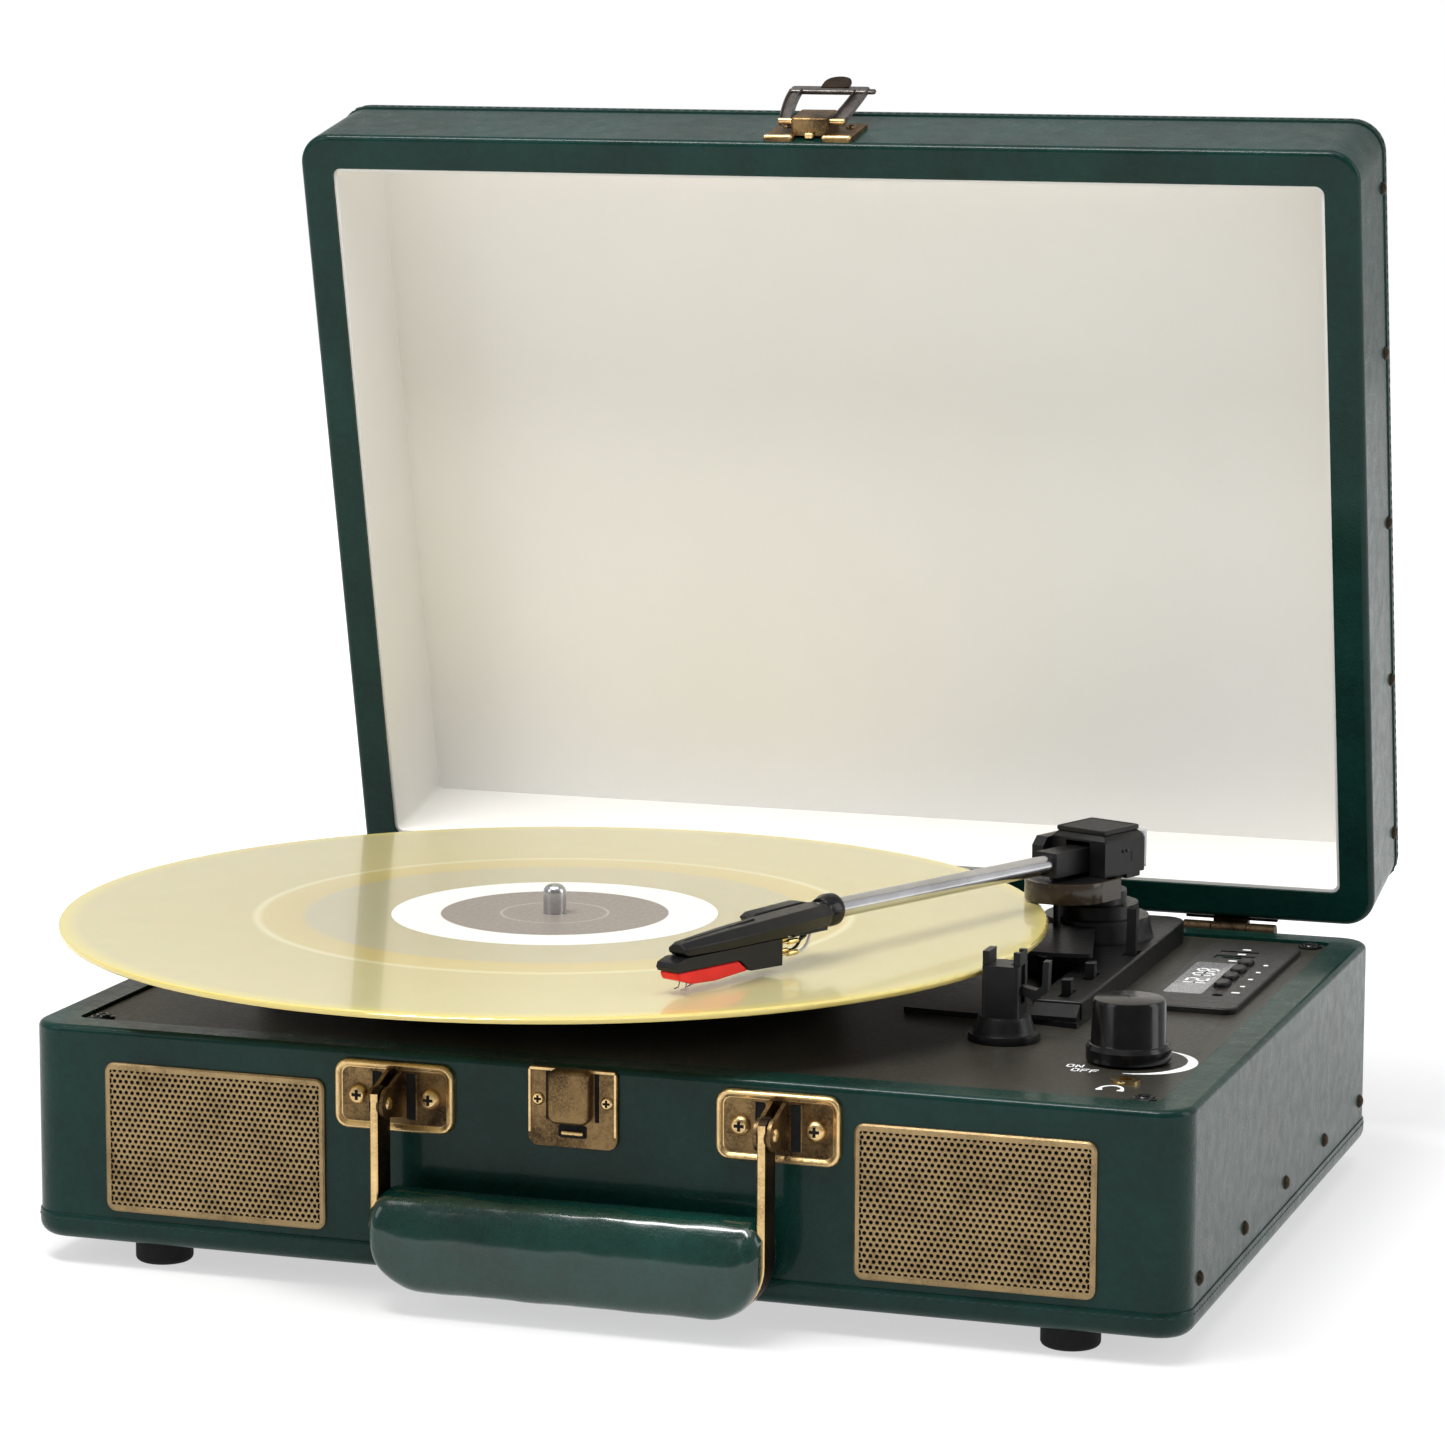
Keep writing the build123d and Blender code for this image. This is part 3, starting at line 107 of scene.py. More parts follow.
FLAT = Frame(at(0, 0, 0), (1, 0, 0), (0, 1, 0))
FRONT = Frame(at(0, FRONT_Y, 0), (1, 0, 0), (0, 0, 1))
RIGHT = Frame(at(CASE_W / 2, 0, 0), (0, 1, 0), (0, 0, 1))
LEFT = Frame(at(-CASE_W / 2, 0, 0), (0, -1, 0), (0, 0, 1))
REAR = Frame(at(0, REAR_Y, 0), (-1, 0, 0), (0, 0, 1))

HINGE = Vector(JOINTS["lid_hinge"]["pos_m"])
SWING = Matrix.Rotation(-LID_OPEN, 3, "X")


def swung(sheet):
    """The same sheet of the shut lid, after the lid has swung open."""
    return Frame(HINGE + SWING @ (sheet.origin - HINGE), SWING @ sheet.x, SWING @ sheet.y)


LID_FLAT = swung(FLAT)
LID_FRONT = swung(FRONT)
LID_RIGHT = swung(RIGHT)
LID_LEFT = swung(LEFT)
LID_REAR = swung(REAR)


def arm_frame(rise):
    """x runs along the arm to the needle, y to its right and z up, from the pivot."""
    along = Vector((-sin(ARM_TURN) * cos(rise), -cos(ARM_TURN) * cos(rise), sin(rise)))
    right = Vector((cos(ARM_TURN), -sin(ARM_TURN), 0))
    return Frame(JOINTS["arm_lift"]["pos_m"], along, right)


HEAD = arm_frame(0)
ARM = arm_frame(ARM_RISE)
ARM_SIDE = Frame(ARM.origin, ARM.x, ARM.z)
HEAD_SIDE = Frame(HEAD.origin, HEAD.x, HEAD.z)
DECK_TOP = CASE_TOP - 1.0
BOARD_TOP = DECK_TOP + 7.0
COLLAR = 132.0
NEEDLE = 197.7
TIP = ARM.moved(NEEDLE, 0)
TIP_SIDE = ARM_SIDE.moved(NEEDLE, 0)


# ---- meshes
def rounded(width, height, radius, steps=6, centre=(0, 0)):
    """The corners of a rounded rectangle, anticlockwise from its right side."""
    points = []
    corners = ((1, 1, 0), (-1, 1, 90), (-1, -1, 180), (1, -1, 270))
    for sign_x, sign_y, start in corners:
        x = centre[0] + sign_x * (width / 2 - radius)
        y = centre[1] + sign_y * (height / 2 - radius)
        for step in range(steps + 1):
            angle = radians(start + 90 * step / steps)
            points.append((x + radius * cos(angle), y + radius * sin(angle)))
    return points


def circle(radius, steps):
    turn = 2 * pi / steps
    return [(radius * cos(i * turn), radius * sin(i * turn)) for i in range(steps)]


def add_object(name, data):
    thing = bpy.data.objects.new(name, data)
    bpy.context.scene.collection.objects.link(thing)
    return thing


def bevelled(thing, width, angle, segments=2):
    """Rounds the edges that are sharper than an angle in degrees."""
    edges = thing.modifiers.new("edges", "BEVEL")
    edges.width = width * MM
    edges.segments = segments
    edges.limit_method = "ANGLE"
    edges.angle_limit = radians(angle)
    return edges


class Piece:
    """A mesh that is drawn shape by shape, then placed on a body with its materials."""

    def __init__(self, name, *materials):
        self.name = name
        self.materials = materials
        self.bm = bmesh.new()

    def loop(self, points):
        return [self.bm.verts.new(point) for point in points]

    def trace(self, sheet, outline, z):
        """A loop along an outline, at a height over its sheet."""
        return self.loop([sheet.to(x, y, z) for x, y in outline])

    def skin(self, loops, material=0, closed=True, caps=(True, True)):
        """Joins a row of loops that have the same number of points."""
        count = len(loops[0])
        for low, high in zip(loops, loops[1:]):
            for i in range(count if closed else count - 1):
                j = (i + 1) % count
                face = self.bm.faces.new((low[i], low[j], high[j], high[i]))
                face.material_index = material
        if caps[0]:
            self.bm.faces.new(reversed(loops[0])).material_index = material
        if caps[1]:
            self.bm.faces.new(loops[-1]).material_index = material

    def prism(self, sheet, outline, low, high, material=0):
        """An outline on a sheet, between two heights over it."""
        self.skin([self.trace(sheet, outline, z) for z in (low, high)], material)

    def pillow(self, sheet, size, radius, low, high, edge, material=0):
        """A rounded rectangle whose upper edge is rolled over."""
        rows = [(0.0, low)]
        for step in range(5):
            angle = radians(22.5 * step)
            rows.append((edge * (1 - cos(angle)), high - edge * (1 - sin(angle))))
        loops = []
        for inset, z in rows:
            outline = rounded(size[0] - 2 * inset, size[1] - 2 * inset, max(radius - inset, 0.1))
            loops.append(self.trace(sheet, outline, z))
        self.skin(loops, material)

    def box(self, sheet, low, high, material=0):
        outline = ((low[0], low[1]), (high[0], low[1]), (high[0], high[1]), (low[0], high[1]))
        self.prism(sheet, outline, low[2], high[2], material)

    def ring(self, sheet, profiles, material=0):
        """Outlines at heights, joined in a closed ring: the last joins the first."""
        loops = [self.trace(sheet, outline, z) for outline, z in profiles]
        self.skin(loops + loops[:1], material, caps=(False, False))

    def lathe(self, sheet, profile, steps=40, material=0):
        """A profile of (radius, height) turned about the sheet's z axis."""
        loops = [self.trace(sheet, circle(max(radius, 0.001), steps), z) for radius, z in profile]
        self.skin(loops, material)

    def tube(self, points, radius, steps=10, material=0):
        """A round wire through points given in metres."""
        loops = []
        side = None
        for i, point in enumerate(points):
            ahead = points[min(i + 1, len(points) - 1)]
            behind = points[max(i - 1, 0)]
            way = (ahead - behind).normalized()
            if side is None:
                side = way.orthogonal().normalized()
            side = (side - way * side.dot(way)).normalized()
            other = way.cross(side)
            size = radius[i] if isinstance(radius, (list, tuple)) else radius
            loops.append(self.loop([
                point + (side * x + other * y) * size * MM for x, y in circle(1.0, steps)
            ]))
        self.skin(loops, material)

    def done(self, body, slot, replaces=(), bevel=0.0, segments=2, sharp=35, normals=True):
        """Turns the drawing into an object on its body."""
        if normals:
            bmesh.ops.recalc_face_normals(self.bm, faces=self.bm.faces)
        mesh = bpy.data.meshes.new(self.name)
        self.bm.to_mesh(mesh)
        self.bm.free()
        for material in self.materials:
            mesh.materials.append(material)
        for polygon in mesh.polygons:
            polygon.use_smooth = True
        mesh.set_sharp_from_angle(angle=radians(sharp))
        piece = add_object(self.name, mesh)
        if bevel:
            edges = bevelled(piece, bevel, sharp, segments)
            edges.harden_normals = True
            edges.miter_outer = "MITER_ARC"
        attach(piece, body)
        if replaces:
            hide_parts(*replaces)
        return piece


# ---- materials
def fill(tree, socket, value):
    """Wires an output into a socket, or sets the socket's own value."""
    if isinstance(value, bpy.types.NodeSocket):
        tree.links.new(value, socket)
    else:
        socket.default_value = value


def add_node(tree, kind, **inputs):
    """A new node with its inputs filled by name."""
    node = tree.nodes.new("ShaderNode" + kind)
    for name, value in inputs.items():
        fill(tree, node.inputs[name.replace("_", " ")], value)
    return node


def combine(tree, kind, operation, *values):
    """A new Math or VectorMath node with its inputs filled in order."""
    node = tree.nodes.new("ShaderNode" + kind)
    node.operation = operation
    for socket, value in zip(node.inputs, values):
        fill(tree, socket, value)
    return node.outputs


class Look:
    """A procedural material, with short names for the nodes it is wired from."""

    def __init__(self, name, **values):
        self.material = bpy.data.materials.new(name)
        self.material.use_nodes = True
        self.tree = self.material.node_tree
        self.shader = self.tree.nodes["Principled BSDF"]
        for socket, value in values.items():
            self.set(socket.replace("_", " "), (*value, 1.0) if isinstance(value, tuple) else value)
        self.coordinates = self.tree.nodes.new("ShaderNodeTexCoord").outputs["Object"]
        self.bumps = None

    def set(self, socket, value):
        fill(self.tree, self.shader.inputs[socket], value)

    def stretched(self, x, y, z):
        """Coordinates scaled along each axis."""
        return add_node(self.tree, "Mapping", Vector=self.coordinates, Scale=(x, y, z)).outputs["Vector"]

    def noise(self, per_metre, detail=3.0, rough=0.55, distortion=0.0, vector=None):
        return add_node(
            self.tree, "TexNoise", Vector=vector or self.coordinates, Scale=per_metre, Detail=detail,
            Roughness=rough, Distortion=distortion,
        ).outputs["Fac"]

    def cells(self, per_metre, wobble, wobble_scale):
        """Distance to the walls of Voronoi cells, with the walls bent by noise."""
        bend = add_node(self.tree, "TexNoise", Vector=self.coordinates, Scale=wobble_scale)
        source = combine(self.tree, "VectorMath", "MULTIPLY_ADD", bend.outputs["Color"],
                         (wobble, wobble, wobble), self.coordinates)[0]
        node = add_node(self.tree, "TexVoronoi", Vector=source, Scale=per_metre)
        node.feature = "DISTANCE_TO_EDGE"
        return node.outputs["Distance"]

    def math(self, operation, a, b):
        return combine(self.tree, "Math", operation, a, b)[0]

    def span(self, value, low, high, out_low=0.0, out_high=1.0):
        """value rescaled from one range to another, and held inside it."""
        return add_node(self.tree, "MapRange", Value=value, From_Min=low, From_Max=high,
                        To_Min=out_low, To_Max=out_high).outputs["Result"]

    def ramp(self, value, *stops):
        """Colours at positions from 0 to 1."""
        node = self.tree.nodes.new("ShaderNodeValToRGB")
        elements = node.color_ramp.elements
        while len(elements) < len(stops):
            elements.new(1.0)
        for element, (position, colour) in zip(elements, stops):
            element.position = position
            element.color = (*colour, 1.0)
        fill(self.tree, node.inputs["Fac"], value)
        return node.outputs["Color"]

    def colour(self, output):
        self.set("Base Color", output)

    def roughness(self, output):
        self.set("Roughness", output)

    def bump(self, height, depth, strength=1.0):
        """Adds relief over what is there. depth is in millimetres."""
        node = add_node(self.tree, "Bump", Strength=strength, Distance=depth * MM, Height=height)
        if self.bumps:
            fill(self.tree, node.inputs["Normal"], self.bumps)
        self.bumps = node.outputs["Normal"]
        self.set("Normal", self.bumps)

    def radius_from(self, centre):
        """Distance in millimetres from an upright axis through centre."""
        shift = combine(self.tree, "VectorMath", "SUBTRACT", self.coordinates, centre)[0]
        flat = combine(self.tree, "VectorMath", "MULTIPLY", shift, (1000.0, 1000.0, 0.0))[0]
        return combine(self.tree, "VectorMath", "LENGTH", flat)["Value"]

    def rings(self, centre, per_millimetre):
        """Noise that changes only with the distance from an upright axis."""
        along = add_node(self.tree, "CombineXYZ", X=self.radius_from(centre))
        return self.noise(per_millimetre, 3, 0.7, vector=along.outputs[0])


def leather(name, dark, light, gloss, coat, shine, grain=1.0):
    """Glossy imitation leather: crinkled fine grain over slow waves."""
    look = Look(name, Specular_IOR_Level=0.08, Coat_Weight=coat, Coat_Roughness=shine)
    tone = look.math("ADD", look.math("MULTIPLY", look.noise(38, 4), 0.7),
                     look.math("MULTIPLY", look.noise(420, 3), 0.3))
    look.colour(look.ramp(look.span(tone, 0.35, 0.65), (0.0, dark), (1.0, light)))
    look.roughness(look.span(look.noise(160, 4), 0.3, 0.7, gloss, gloss + 0.14))
    look.bump(look.noise(26, 2), 1.4 * grain, 0.35)
    creases = look.span(look.cells(210, 0.004, 160), 0.0, 0.25)
    look.bump(creases, 0.03 * grain, 0.4)
    look.bump(look.noise(340, 5, 0.65, 1.2), 0.16 * grain, 0.65)
    grains = look.span(look.cells(760, 0.0016, 520), 0.0, 0.3)
    look.bump(grains, 0.07 * grain, 0.7)
    return look.material


def antique(name, bright, dark, wear, roughness=0.34):
    """Plated metal with dark patina: wear is how much of the plating still shines."""
    look = Look(name, Metallic=1.0)
    patina = look.math("ADD", look.math("MULTIPLY", look.noise(110, 3, 0.5), 0.55),
                       look.math("MULTIPLY", look.noise(1500, 4, 0.7, 0.4), 0.45))
    patina = look.span(patina, 0.52 - wear * 0.25, 0.8 - wear * 0.2)
    look.colour(look.ramp(patina, (0.0, dark), (0.55, bright), (1.0, tuple(c * 1.15 for c in bright))))
    look.roughness(look.span(look.noise(700, 4), 0.3, 0.7, roughness, roughness + 0.2))
    look.bump(look.noise(1300, 3), 0.05, 0.5)
    return look.material


def plastic(name, colour, roughness, grain=900.0, relief=0.02, **values):
    """Moulded plastic with a fine spark-eroded grain."""
    look = Look(name, Specular_IOR_Level=0.24, **values)
    light = tuple(min(1.0, c * 1.35 + 0.002) for c in colour)
    look.colour(look.ramp(look.noise(grain * 0.25, 3), (0.3, colour), (0.7, light)))
    look.roughness(look.span(look.noise(grain * 0.5, 3), 0.3, 0.7, roughness, roughness + 0.1))
    look.bump(look.noise(grain, 2), relief, 0.6)
    return look.material


GREEN = leather("green_leather", (0.0014, 0.0165, 0.0122), (0.0034, 0.031, 0.0235), 0.25, 0.25, 0.12)
GRIP_GREEN = leather("grip_leather", (0.0016, 0.02, 0.0145), (0.0045, 0.041, 0.03), 0.2, 1.0, 0.13, 1.3)
THREAD = plastic("green_thread", (0.006, 0.03, 0.024), 0.6, 2400.0, 0.05)
BRASS = antique("antique_brass", (0.24, 0.155, 0.07), (0.06, 0.038, 0.02), 0.5)
BRASS_DARK = antique("patina_brass", (0.22, 0.14, 0.06), (0.06, 0.036, 0.018), 0.5, 0.4)
# bright brass: partly worn plating, partly painted highlight on lit edges such as the strap's front and
# the catch's rim
BRASS_BRIGHT = antique("wear_and_highlight_brass", (0.70, 0.49, 0.23), (0.34, 0.21, 0.09), 0.9, 0.24)
BRASS_BROWN = antique("brown_brass", (0.045, 0.03, 0.017), (0.014, 0.009, 0.006), 0.5, 0.45)
GRILLE = antique("grille_brass", (0.33, 0.235, 0.12), (0.15, 0.1, 0.05), 0.9, 0.36)
GUNMETAL = antique("smoked_metal", (0.2, 0.18, 0.165), (0.06, 0.052, 0.048), 0.6, 0.3)
CLOTH = plastic("speaker_cloth", (0.006, 0.006, 0.006), 0.85, 2600.0, 0.1)
BLACK = plastic("black_plastic", (0.0045, 0.0045, 0.0048), 0.3)
BLACK_GLOSS = plastic("gloss_black", (0.0025, 0.0025, 0.003), 0.16, 500.0, 0.003, Coat_Weight=0.1)
BLACK_GRAIN = plastic("grained_black", (0.01, 0.01, 0.01), 0.46, 1400.0, 0.12)
# dark deck plastic, its base colour raised to a warm grey as a painted reflection of the lining
DECK = plastic("deck_black", (0.0235, 0.022, 0.0165), 0.33, 1500.0, 0.035)
PANEL = plastic("panel_plastic", (0.012, 0.0115, 0.011), 0.3, 1300.0, 0.03)
RUBBER = plastic("foot_rubber", (0.008, 0.008, 0.008), 0.7, 1500.0, 0.08)
RED = plastic("red_plastic", (0.72, 0.006, 0.006), 0.16, 400.0, 0.01, Coat_Weight=0.3)
SMOKED = plastic("smoked_plastic", (0.035, 0.024, 0.014), 0.2, 500.0, 0.015, Coat_Weight=0.3)
PRINT = plastic("white_print", (0.83, 0.83, 0.82), 0.5, 1500.0, 0.01)
GREY_CLEAR = plastic("grey_plastic", (0.42, 0.42, 0.42), 0.18, 500.0, 0.01, Coat_Weight=0.3)
DISPLAY = plastic("display_glass", (0.2, 0.2, 0.205), 0.22, 6000.0, 0.002, Coat_Weight=0.2)
GREEN_BOARD = plastic("board_green", (0.003, 0.016, 0.008), 0.3, 300.0, 0.02)
WHITE_PLASTIC = plastic("white_plastic", (0.7, 0.7, 0.68), 0.3)


def metal(name, colour, roughness, streak=(40, 40, 40)):
    """Turned or drawn metal: fine lines along the given stretch."""
    look = Look(name, Metallic=1.0)
    lines = look.noise(90, 4, vector=look.stretched(*streak))
    light = tuple(min(1.0, c * 1.12) for c in colour)
    look.colour(look.ramp(lines, (0.3, tuple(c * 0.86 for c in colour)), (0.7, light)))
    look.roughness(look.span(lines, 0.3, 0.7, roughness, roughness + 0.08))
    look.bump(lines, 0.004, 0.5)
    return look.material


CHROME = metal("arm_chrome", (0.62, 0.62, 0.64), 0.16, (0.5, 0.5, 0.5))
STEEL = metal("bright_steel", (0.52, 0.52, 0.53), 0.2, (30, 30, 30))
GOLD = metal("gold_plate", (0.85, 0.62, 0.25), 0.16, (10, 10, 10))
DARK_STEEL = metal("black_steel", (0.03, 0.03, 0.032), 0.34, (10, 10, 10))


def lining():
    """Off-white flocked paper, faintly mottled."""
    look = Look("cream_lining", Specular_IOR_Level=0.2, Sheen_Weight=0.15)
    look.colour(look.ramp(look.noise(14, 4), (0.25, (0.84, 0.825, 0.79)), (0.75, (0.87, 0.855, 0.825))))
    look.roughness(look.span(look.noise(900, 2), 0.3, 0.7, 0.78, 0.92))
    look.bump(look.noise(9, 2), 1.2, 0.2)
    look.bump(look.noise(2200, 2), 0.05, 0.5)
    return look.material


LINING = lining()
PLATTER_AXIS = Vector(JOINTS["platter_spin"]["pos_m"])


def vinyl():
    """Milky translucent yellow vinyl: its tone follows what lies under each band, painted in as the shade
    and light seen through the disc.
    """
    look = Look(
        "record_vinyl", Specular_IOR_Level=0.5, Coat_Weight=0.45, Coat_Roughness=0.03,
        Subsurface_Weight=0.12, Subsurface_Scale=0.004,
    )
    radius = look.radius_from(PLATTER_AXIS)
    outer = (0.52, 0.455, 0.22)
    look.colour(look.ramp(
        look.span(radius, 0, 160), (0.30, (0.42, 0.375, 0.22)), (0.47, (0.44, 0.395, 0.235)),
        (0.485, (0.52, 0.42, 0.17)), (0.555, (0.55, 0.45, 0.18)), (0.568, (0.66, 0.6, 0.35)),
        (0.58, outer), (0.90, (0.55, 0.49, 0.25)), (0.935, (0.68, 0.58, 0.2)), (0.95, (0.62, 0.5, 0.12)),
    ))
    look.roughness(look.span(look.noise(60, 2), 0.3, 0.7, 0.14, 0.2))
    look.bump(look.rings(PLATTER_AXIS, 2.4), 0.05, 0.5)
    return look.material


def printed_label():
    """A white ring round a grey-brown middle, with a fine pressed ring."""
    look = Look("label_paper", Specular_IOR_Level=0.3)
    radius = look.radius_from(PLATTER_AXIS)
    brown = (0.235, 0.205, 0.18)
    look.colour(look.ramp(
        look.span(radius, 0, 50), (0.0, brown), (0.318, brown), (0.325, (0.42, 0.39, 0.36)),
        (0.34, brown), (0.695, brown), (0.70, (0.7, 0.69, 0.66)), (1.0, (0.72, 0.71, 0.68)),
    ))
    look.roughness(look.span(look.noise(700, 2), 0.3, 0.7, 0.36, 0.5))
    look.bump(look.noise(1500, 2), 0.02, 0.5)
    return look.material


VINYL = vinyl()
LABEL = printed_label()
PLATTER = plastic("platter_plastic", (0.3, 0.28, 0.2), 0.4)
FELT = plastic("mat_felt", (0.2, 0.17, 0.09), 0.9, 2400.0, 0.2)
CONE = plastic("speaker_paper", (0.03, 0.03, 0.03), 0.8, 1200.0, 0.1)

# Materials of the CAD pieces that stay as they are
KEPT = {
    GREEN: ("case_shell", "lid_shell"),
    BLACK_GRAIN: ("bottom_panel", "rear_sockets"),
    LINING: ("lid_lining",),
    RUBBER: ("feet", "drive_belt"),
    DECK: ("deck_plate",),
    BRASS_BROWN: ("hinge_case_leaves", "hinge_lid_leaves"),
    DARK_STEEL: ("speakers",),
    CONE: ("speaker_cones",),
    GOLD: ("bearing_bush", "motor_pulley", "headphone_jack"),
    STEEL: ("motor", "spindle", "volume_control"),
    CHROME: ("arm_tube",),
    PLATTER: ("platter",),
    FELT: ("slipmat",),
    VINYL: ("record",),
    LABEL: ("record_label",),
    BLACK: (
        "armboard", "pivot_column", "arm_sleeve", "rest_post", "rest_clip", "lift_platform", "cue_lever",
        "speed_switch", "stop_switch", "button_1", "button_2", "button_3", "button_4",
    ),
    PANEL: ("control_panel",),
    SMOKED: ("arm_drum",),
    GREY_CLEAR: ("arm_end_plate",),
    GREEN_BOARD: ("panel_board", "main_board"),
}
for material, names in KEPT.items():
    for name in names:
        mesh = NODES[name].data
        mesh.materials.clear()
        mesh.materials.append(material)

# Moulded pieces have edges that are a little rounded
SOFT = {
    1.1: ("arm_sleeve",),
    0.6: ("pivot_column", "rest_post", "arm_end_plate", "cue_lever"),
    0.4: ("armboard", "rest_clip", "arm_drum"),
    0.3: ("deck_plate", "control_panel", "button_1", "button_2", "button_3", "button_4"),
}
for width, names in SOFT.items():
    for name in names:
        weld = NODES[name].modifiers.new("weld", "WELD")
        weld.merge_threshold = 0.002 * MM
        bevelled(NODES[name], width, 50)


# ---- case and lid
STITCH = 3.1
STITCH_GAP = 0.8
THREAD_R = 0.18
BAND_TOP = 7.4
BAND_T = 0.5
BAND_FILLET = 4.0


def walk(outline, spacing):
    """Points at even spacing along a closed outline, with the way it runs there."""
    lengths = []
    for (x0, y0), (x1, y1) in zip(outline, outline[1:] + outline[:1]):
        lengths.append(hypot(x1 - x0, y1 - y0))
    count = int(sum(lengths) / spacing)
    step = sum(lengths) / count
    done = 0.0
    wanted = 0.0
    for i, length in enumerate(lengths):
        x0, y0 = outline[i]
        x1, y1 = outline[(i + 1) % len(outline)]
        while wanted < done + length and length > 0:
            share = (wanted - done) / length
            way = ((x1 - x0) / length, (y1 - y0) / length)
            yield (x0 + (x1 - x0) * share, y0 + (y1 - y0) * share), way
            wanted += step
        done += length


def perimeter(offset):
    return rounded(CASE_W + 2 * offset, CASE_D + 2 * offset, CORNER_R + offset, 8)


def edge_band(name, sheet, start, way, body, fillet):
    """The strip of leather folded round an outer edge: from start, towards the edge."""
    piece = Piece(name, GREEN, THREAD)
    profile = [(-0.3, BAND_TOP), (BAND_T * 0.7, BAND_TOP - 0.1), (BAND_T, BAND_TOP - 0.5)]
    for step in range(7):
        angle = radians(step * 13)
        reach = fillet + BAND_T
        profile.append((-fillet + reach * cos(angle), fillet - reach * sin(angle)))
    loops = []
    for offset, height in profile:
        loops.append(piece.trace(sheet, perimeter(offset), start + way * height))
    piece.skin(loops, caps=(False, False))
    line = start + way * (BAND_TOP - 1.6)
    for (x, y), (along_x, along_y) in walk(perimeter(BAND_T), STITCH):
        half = (STITCH - STITCH_GAP) / 2
        out = Vector((along_y, -along_x, 0))
        points = []
        for share in (-1.0, -0.6, 0.6, 1.0):
            sink = 0.35 if abs(share) == 1.0 else 0.0
            points.append(sheet.to(
                x + along_x * half * share - out.x * sink, y + along_y * half * share - out.y * sink,
                line + 0.12 * share,
            ))
        piece.tube(points, [0.12, THREAD_R, THREAD_R, 0.12], 6, 1)
    return piece.done(body, "green_leather", sharp=60)


edge_band("case_edge_band", FLAT, CASE_BOTTOM, 1, "case", BAND_FILLET)
edge_band("lid_edge_band", LID_FLAT, LID_BOTTOM + LID_H, -1, "lid", 5.0)

NAIL_DOME = [(0.0, 1.25), (0.9, 1.15), (1.6, 0.8), (2.0, 0.35), (2.2, 0.1), (2.2, -0.4)]


def nails(name, node, sheets, height, body):
    piece = Piece(name, BRASS_BROWN)
    for sheet, places in sheets:
        for along in places:
            piece.lathe(sheet.moved(along, height), NAIL_DOME[::-1], 16)
    return piece.done(body, "antique_brass", (node,), sharp=60)


CASE_NAIL_YS = (-111.0, -54.0, 2.0, 58.0, 113.0)
LID_NAIL_YS = (-107.0, -54.0, 2.0, 55.0, 108.0)
nails("case_stud_heads", "case_nails",
      ((RIGHT, CASE_NAIL_YS), (LEFT, [-y for y in CASE_NAIL_YS])), CASE_BOTTOM + 14, "case")
nails("lid_stud_heads", "lid_nails",
      ((LID_RIGHT, LID_NAIL_YS), (LID_LEFT, [-y for y in LID_NAIL_YS])), LID_BOTTOM + 34, "lid")

# Perforated grilles: each hole sits in its own hexagon of sheet
HOLE_PITCH = 1.85
HOLE_R = 0.6
SHEET_T = 0.7
GRILLE_EDGE = 1.3


def grille(piece, sheet, width, height):
    """A perforated sheet on the sheet's middle, with a plain folded rim."""
    row = HOLE_PITCH * sqrt(3) / 2
    columns = int((width - 2 * GRILLE_EDGE) / HOLE_PITCH)
    rows = int((height - 2 * GRILLE_EDGE) / row)
    half_w = (columns - 0.5) * HOLE_PITCH / 2
    half_h = (rows - 1) * row / 2
    top = 1.0
    corner = HOLE_PITCH / sqrt(3)
    for j in range(rows):
        for i in range(columns - j % 2):
            x = -half_w + (i + 0.25 + 0.5 * (j % 2)) * HOLE_PITCH
            y = -half_h + j * row
            outer, inner, deep = [], [], []
            for k in range(12):
                angle = radians(30 * k + 30)
                reach = corner if k % 2 == 0 else HOLE_PITCH / 2
                across, up = cos(angle), sin(angle)
                outer.append(sheet.to(x + reach * across, y + reach * up, top))
                inner.append(sheet.to(x + HOLE_R * across, y + HOLE_R * up, top - 0.06))
                deep.append(sheet.to(x + HOLE_R * across, y + HOLE_R * up, top - SHEET_T))
            piece.skin([piece.loop(ring) for ring in (outer, inner, deep)], caps=(False, False))
    inner_w = 2 * half_w + HOLE_PITCH * 0.2
    inner_h = 2 * half_h + HOLE_PITCH * 0.2
    shapes = (
        (rounded(inner_w, inner_h, 0.6), top - 0.08), (rounded(inner_w, inner_h, 0.6), top + 0.0),
        (rounded(width - 1.2, height - 1.2, 2.4), top + 0.12),
        (rounded(width - 0.2, height - 0.2, 2.9), top - 0.25), (rounded(width, height, 3.0), -0.1),
        (rounded(inner_w, inner_h, 0.6), -0.1),
    )
    piece.ring(sheet, shapes)
    piece.prism(sheet, rounded(width - 1, height - 1, 2.5), -0.05, 0.2, 1)


grilles = Piece("perforated_grilles", GRILLE, CLOTH)
grille_low, grille_high = box_of("speaker_grilles")
GRILLE_W = 69.4
GRILLE_H = grille_high.z - grille_low.z
GRILLE_X = grille_high.x - GRILLE_W / 2
GRILLE_Z = (grille_high.z + grille_low.z) / 2
for side in (-1, 1):
    grille(grilles, FRONT.moved(side * GRILLE_X, GRILLE_Z), GRILLE_W, GRILLE_H)
grilles.done("case", "grille_brass", ("speaker_grilles",), sharp=40, normals=False)


# ---- brass fittings
def cross_head(piece, sheet, radius, height, slot, material=0, deep=1):
    """A domed screw head with a cross recess; the recess is a flat star in the material deep, as painted
    shade.
    """
    dome = [(radius, -0.4), (radius, height * 0.15), (radius * 0.93, height * 0.55),
            (radius * 0.72, height * 0.9), (slot * 0.62, height)]
    piece.lathe(sheet, dome, 24, material)
    arm = slot * 0.16
    half = slot / 2
    star = [(arm, arm), (arm, half), (-arm, half), (-arm, arm), (-half, arm), (-half, -arm),
            (-arm, -arm), (-arm, -half), (arm, -half), (arm, -arm), (half, -arm), (half, arm)]
    piece.prism(sheet, star, height - 0.1, height + 0.02, deep)


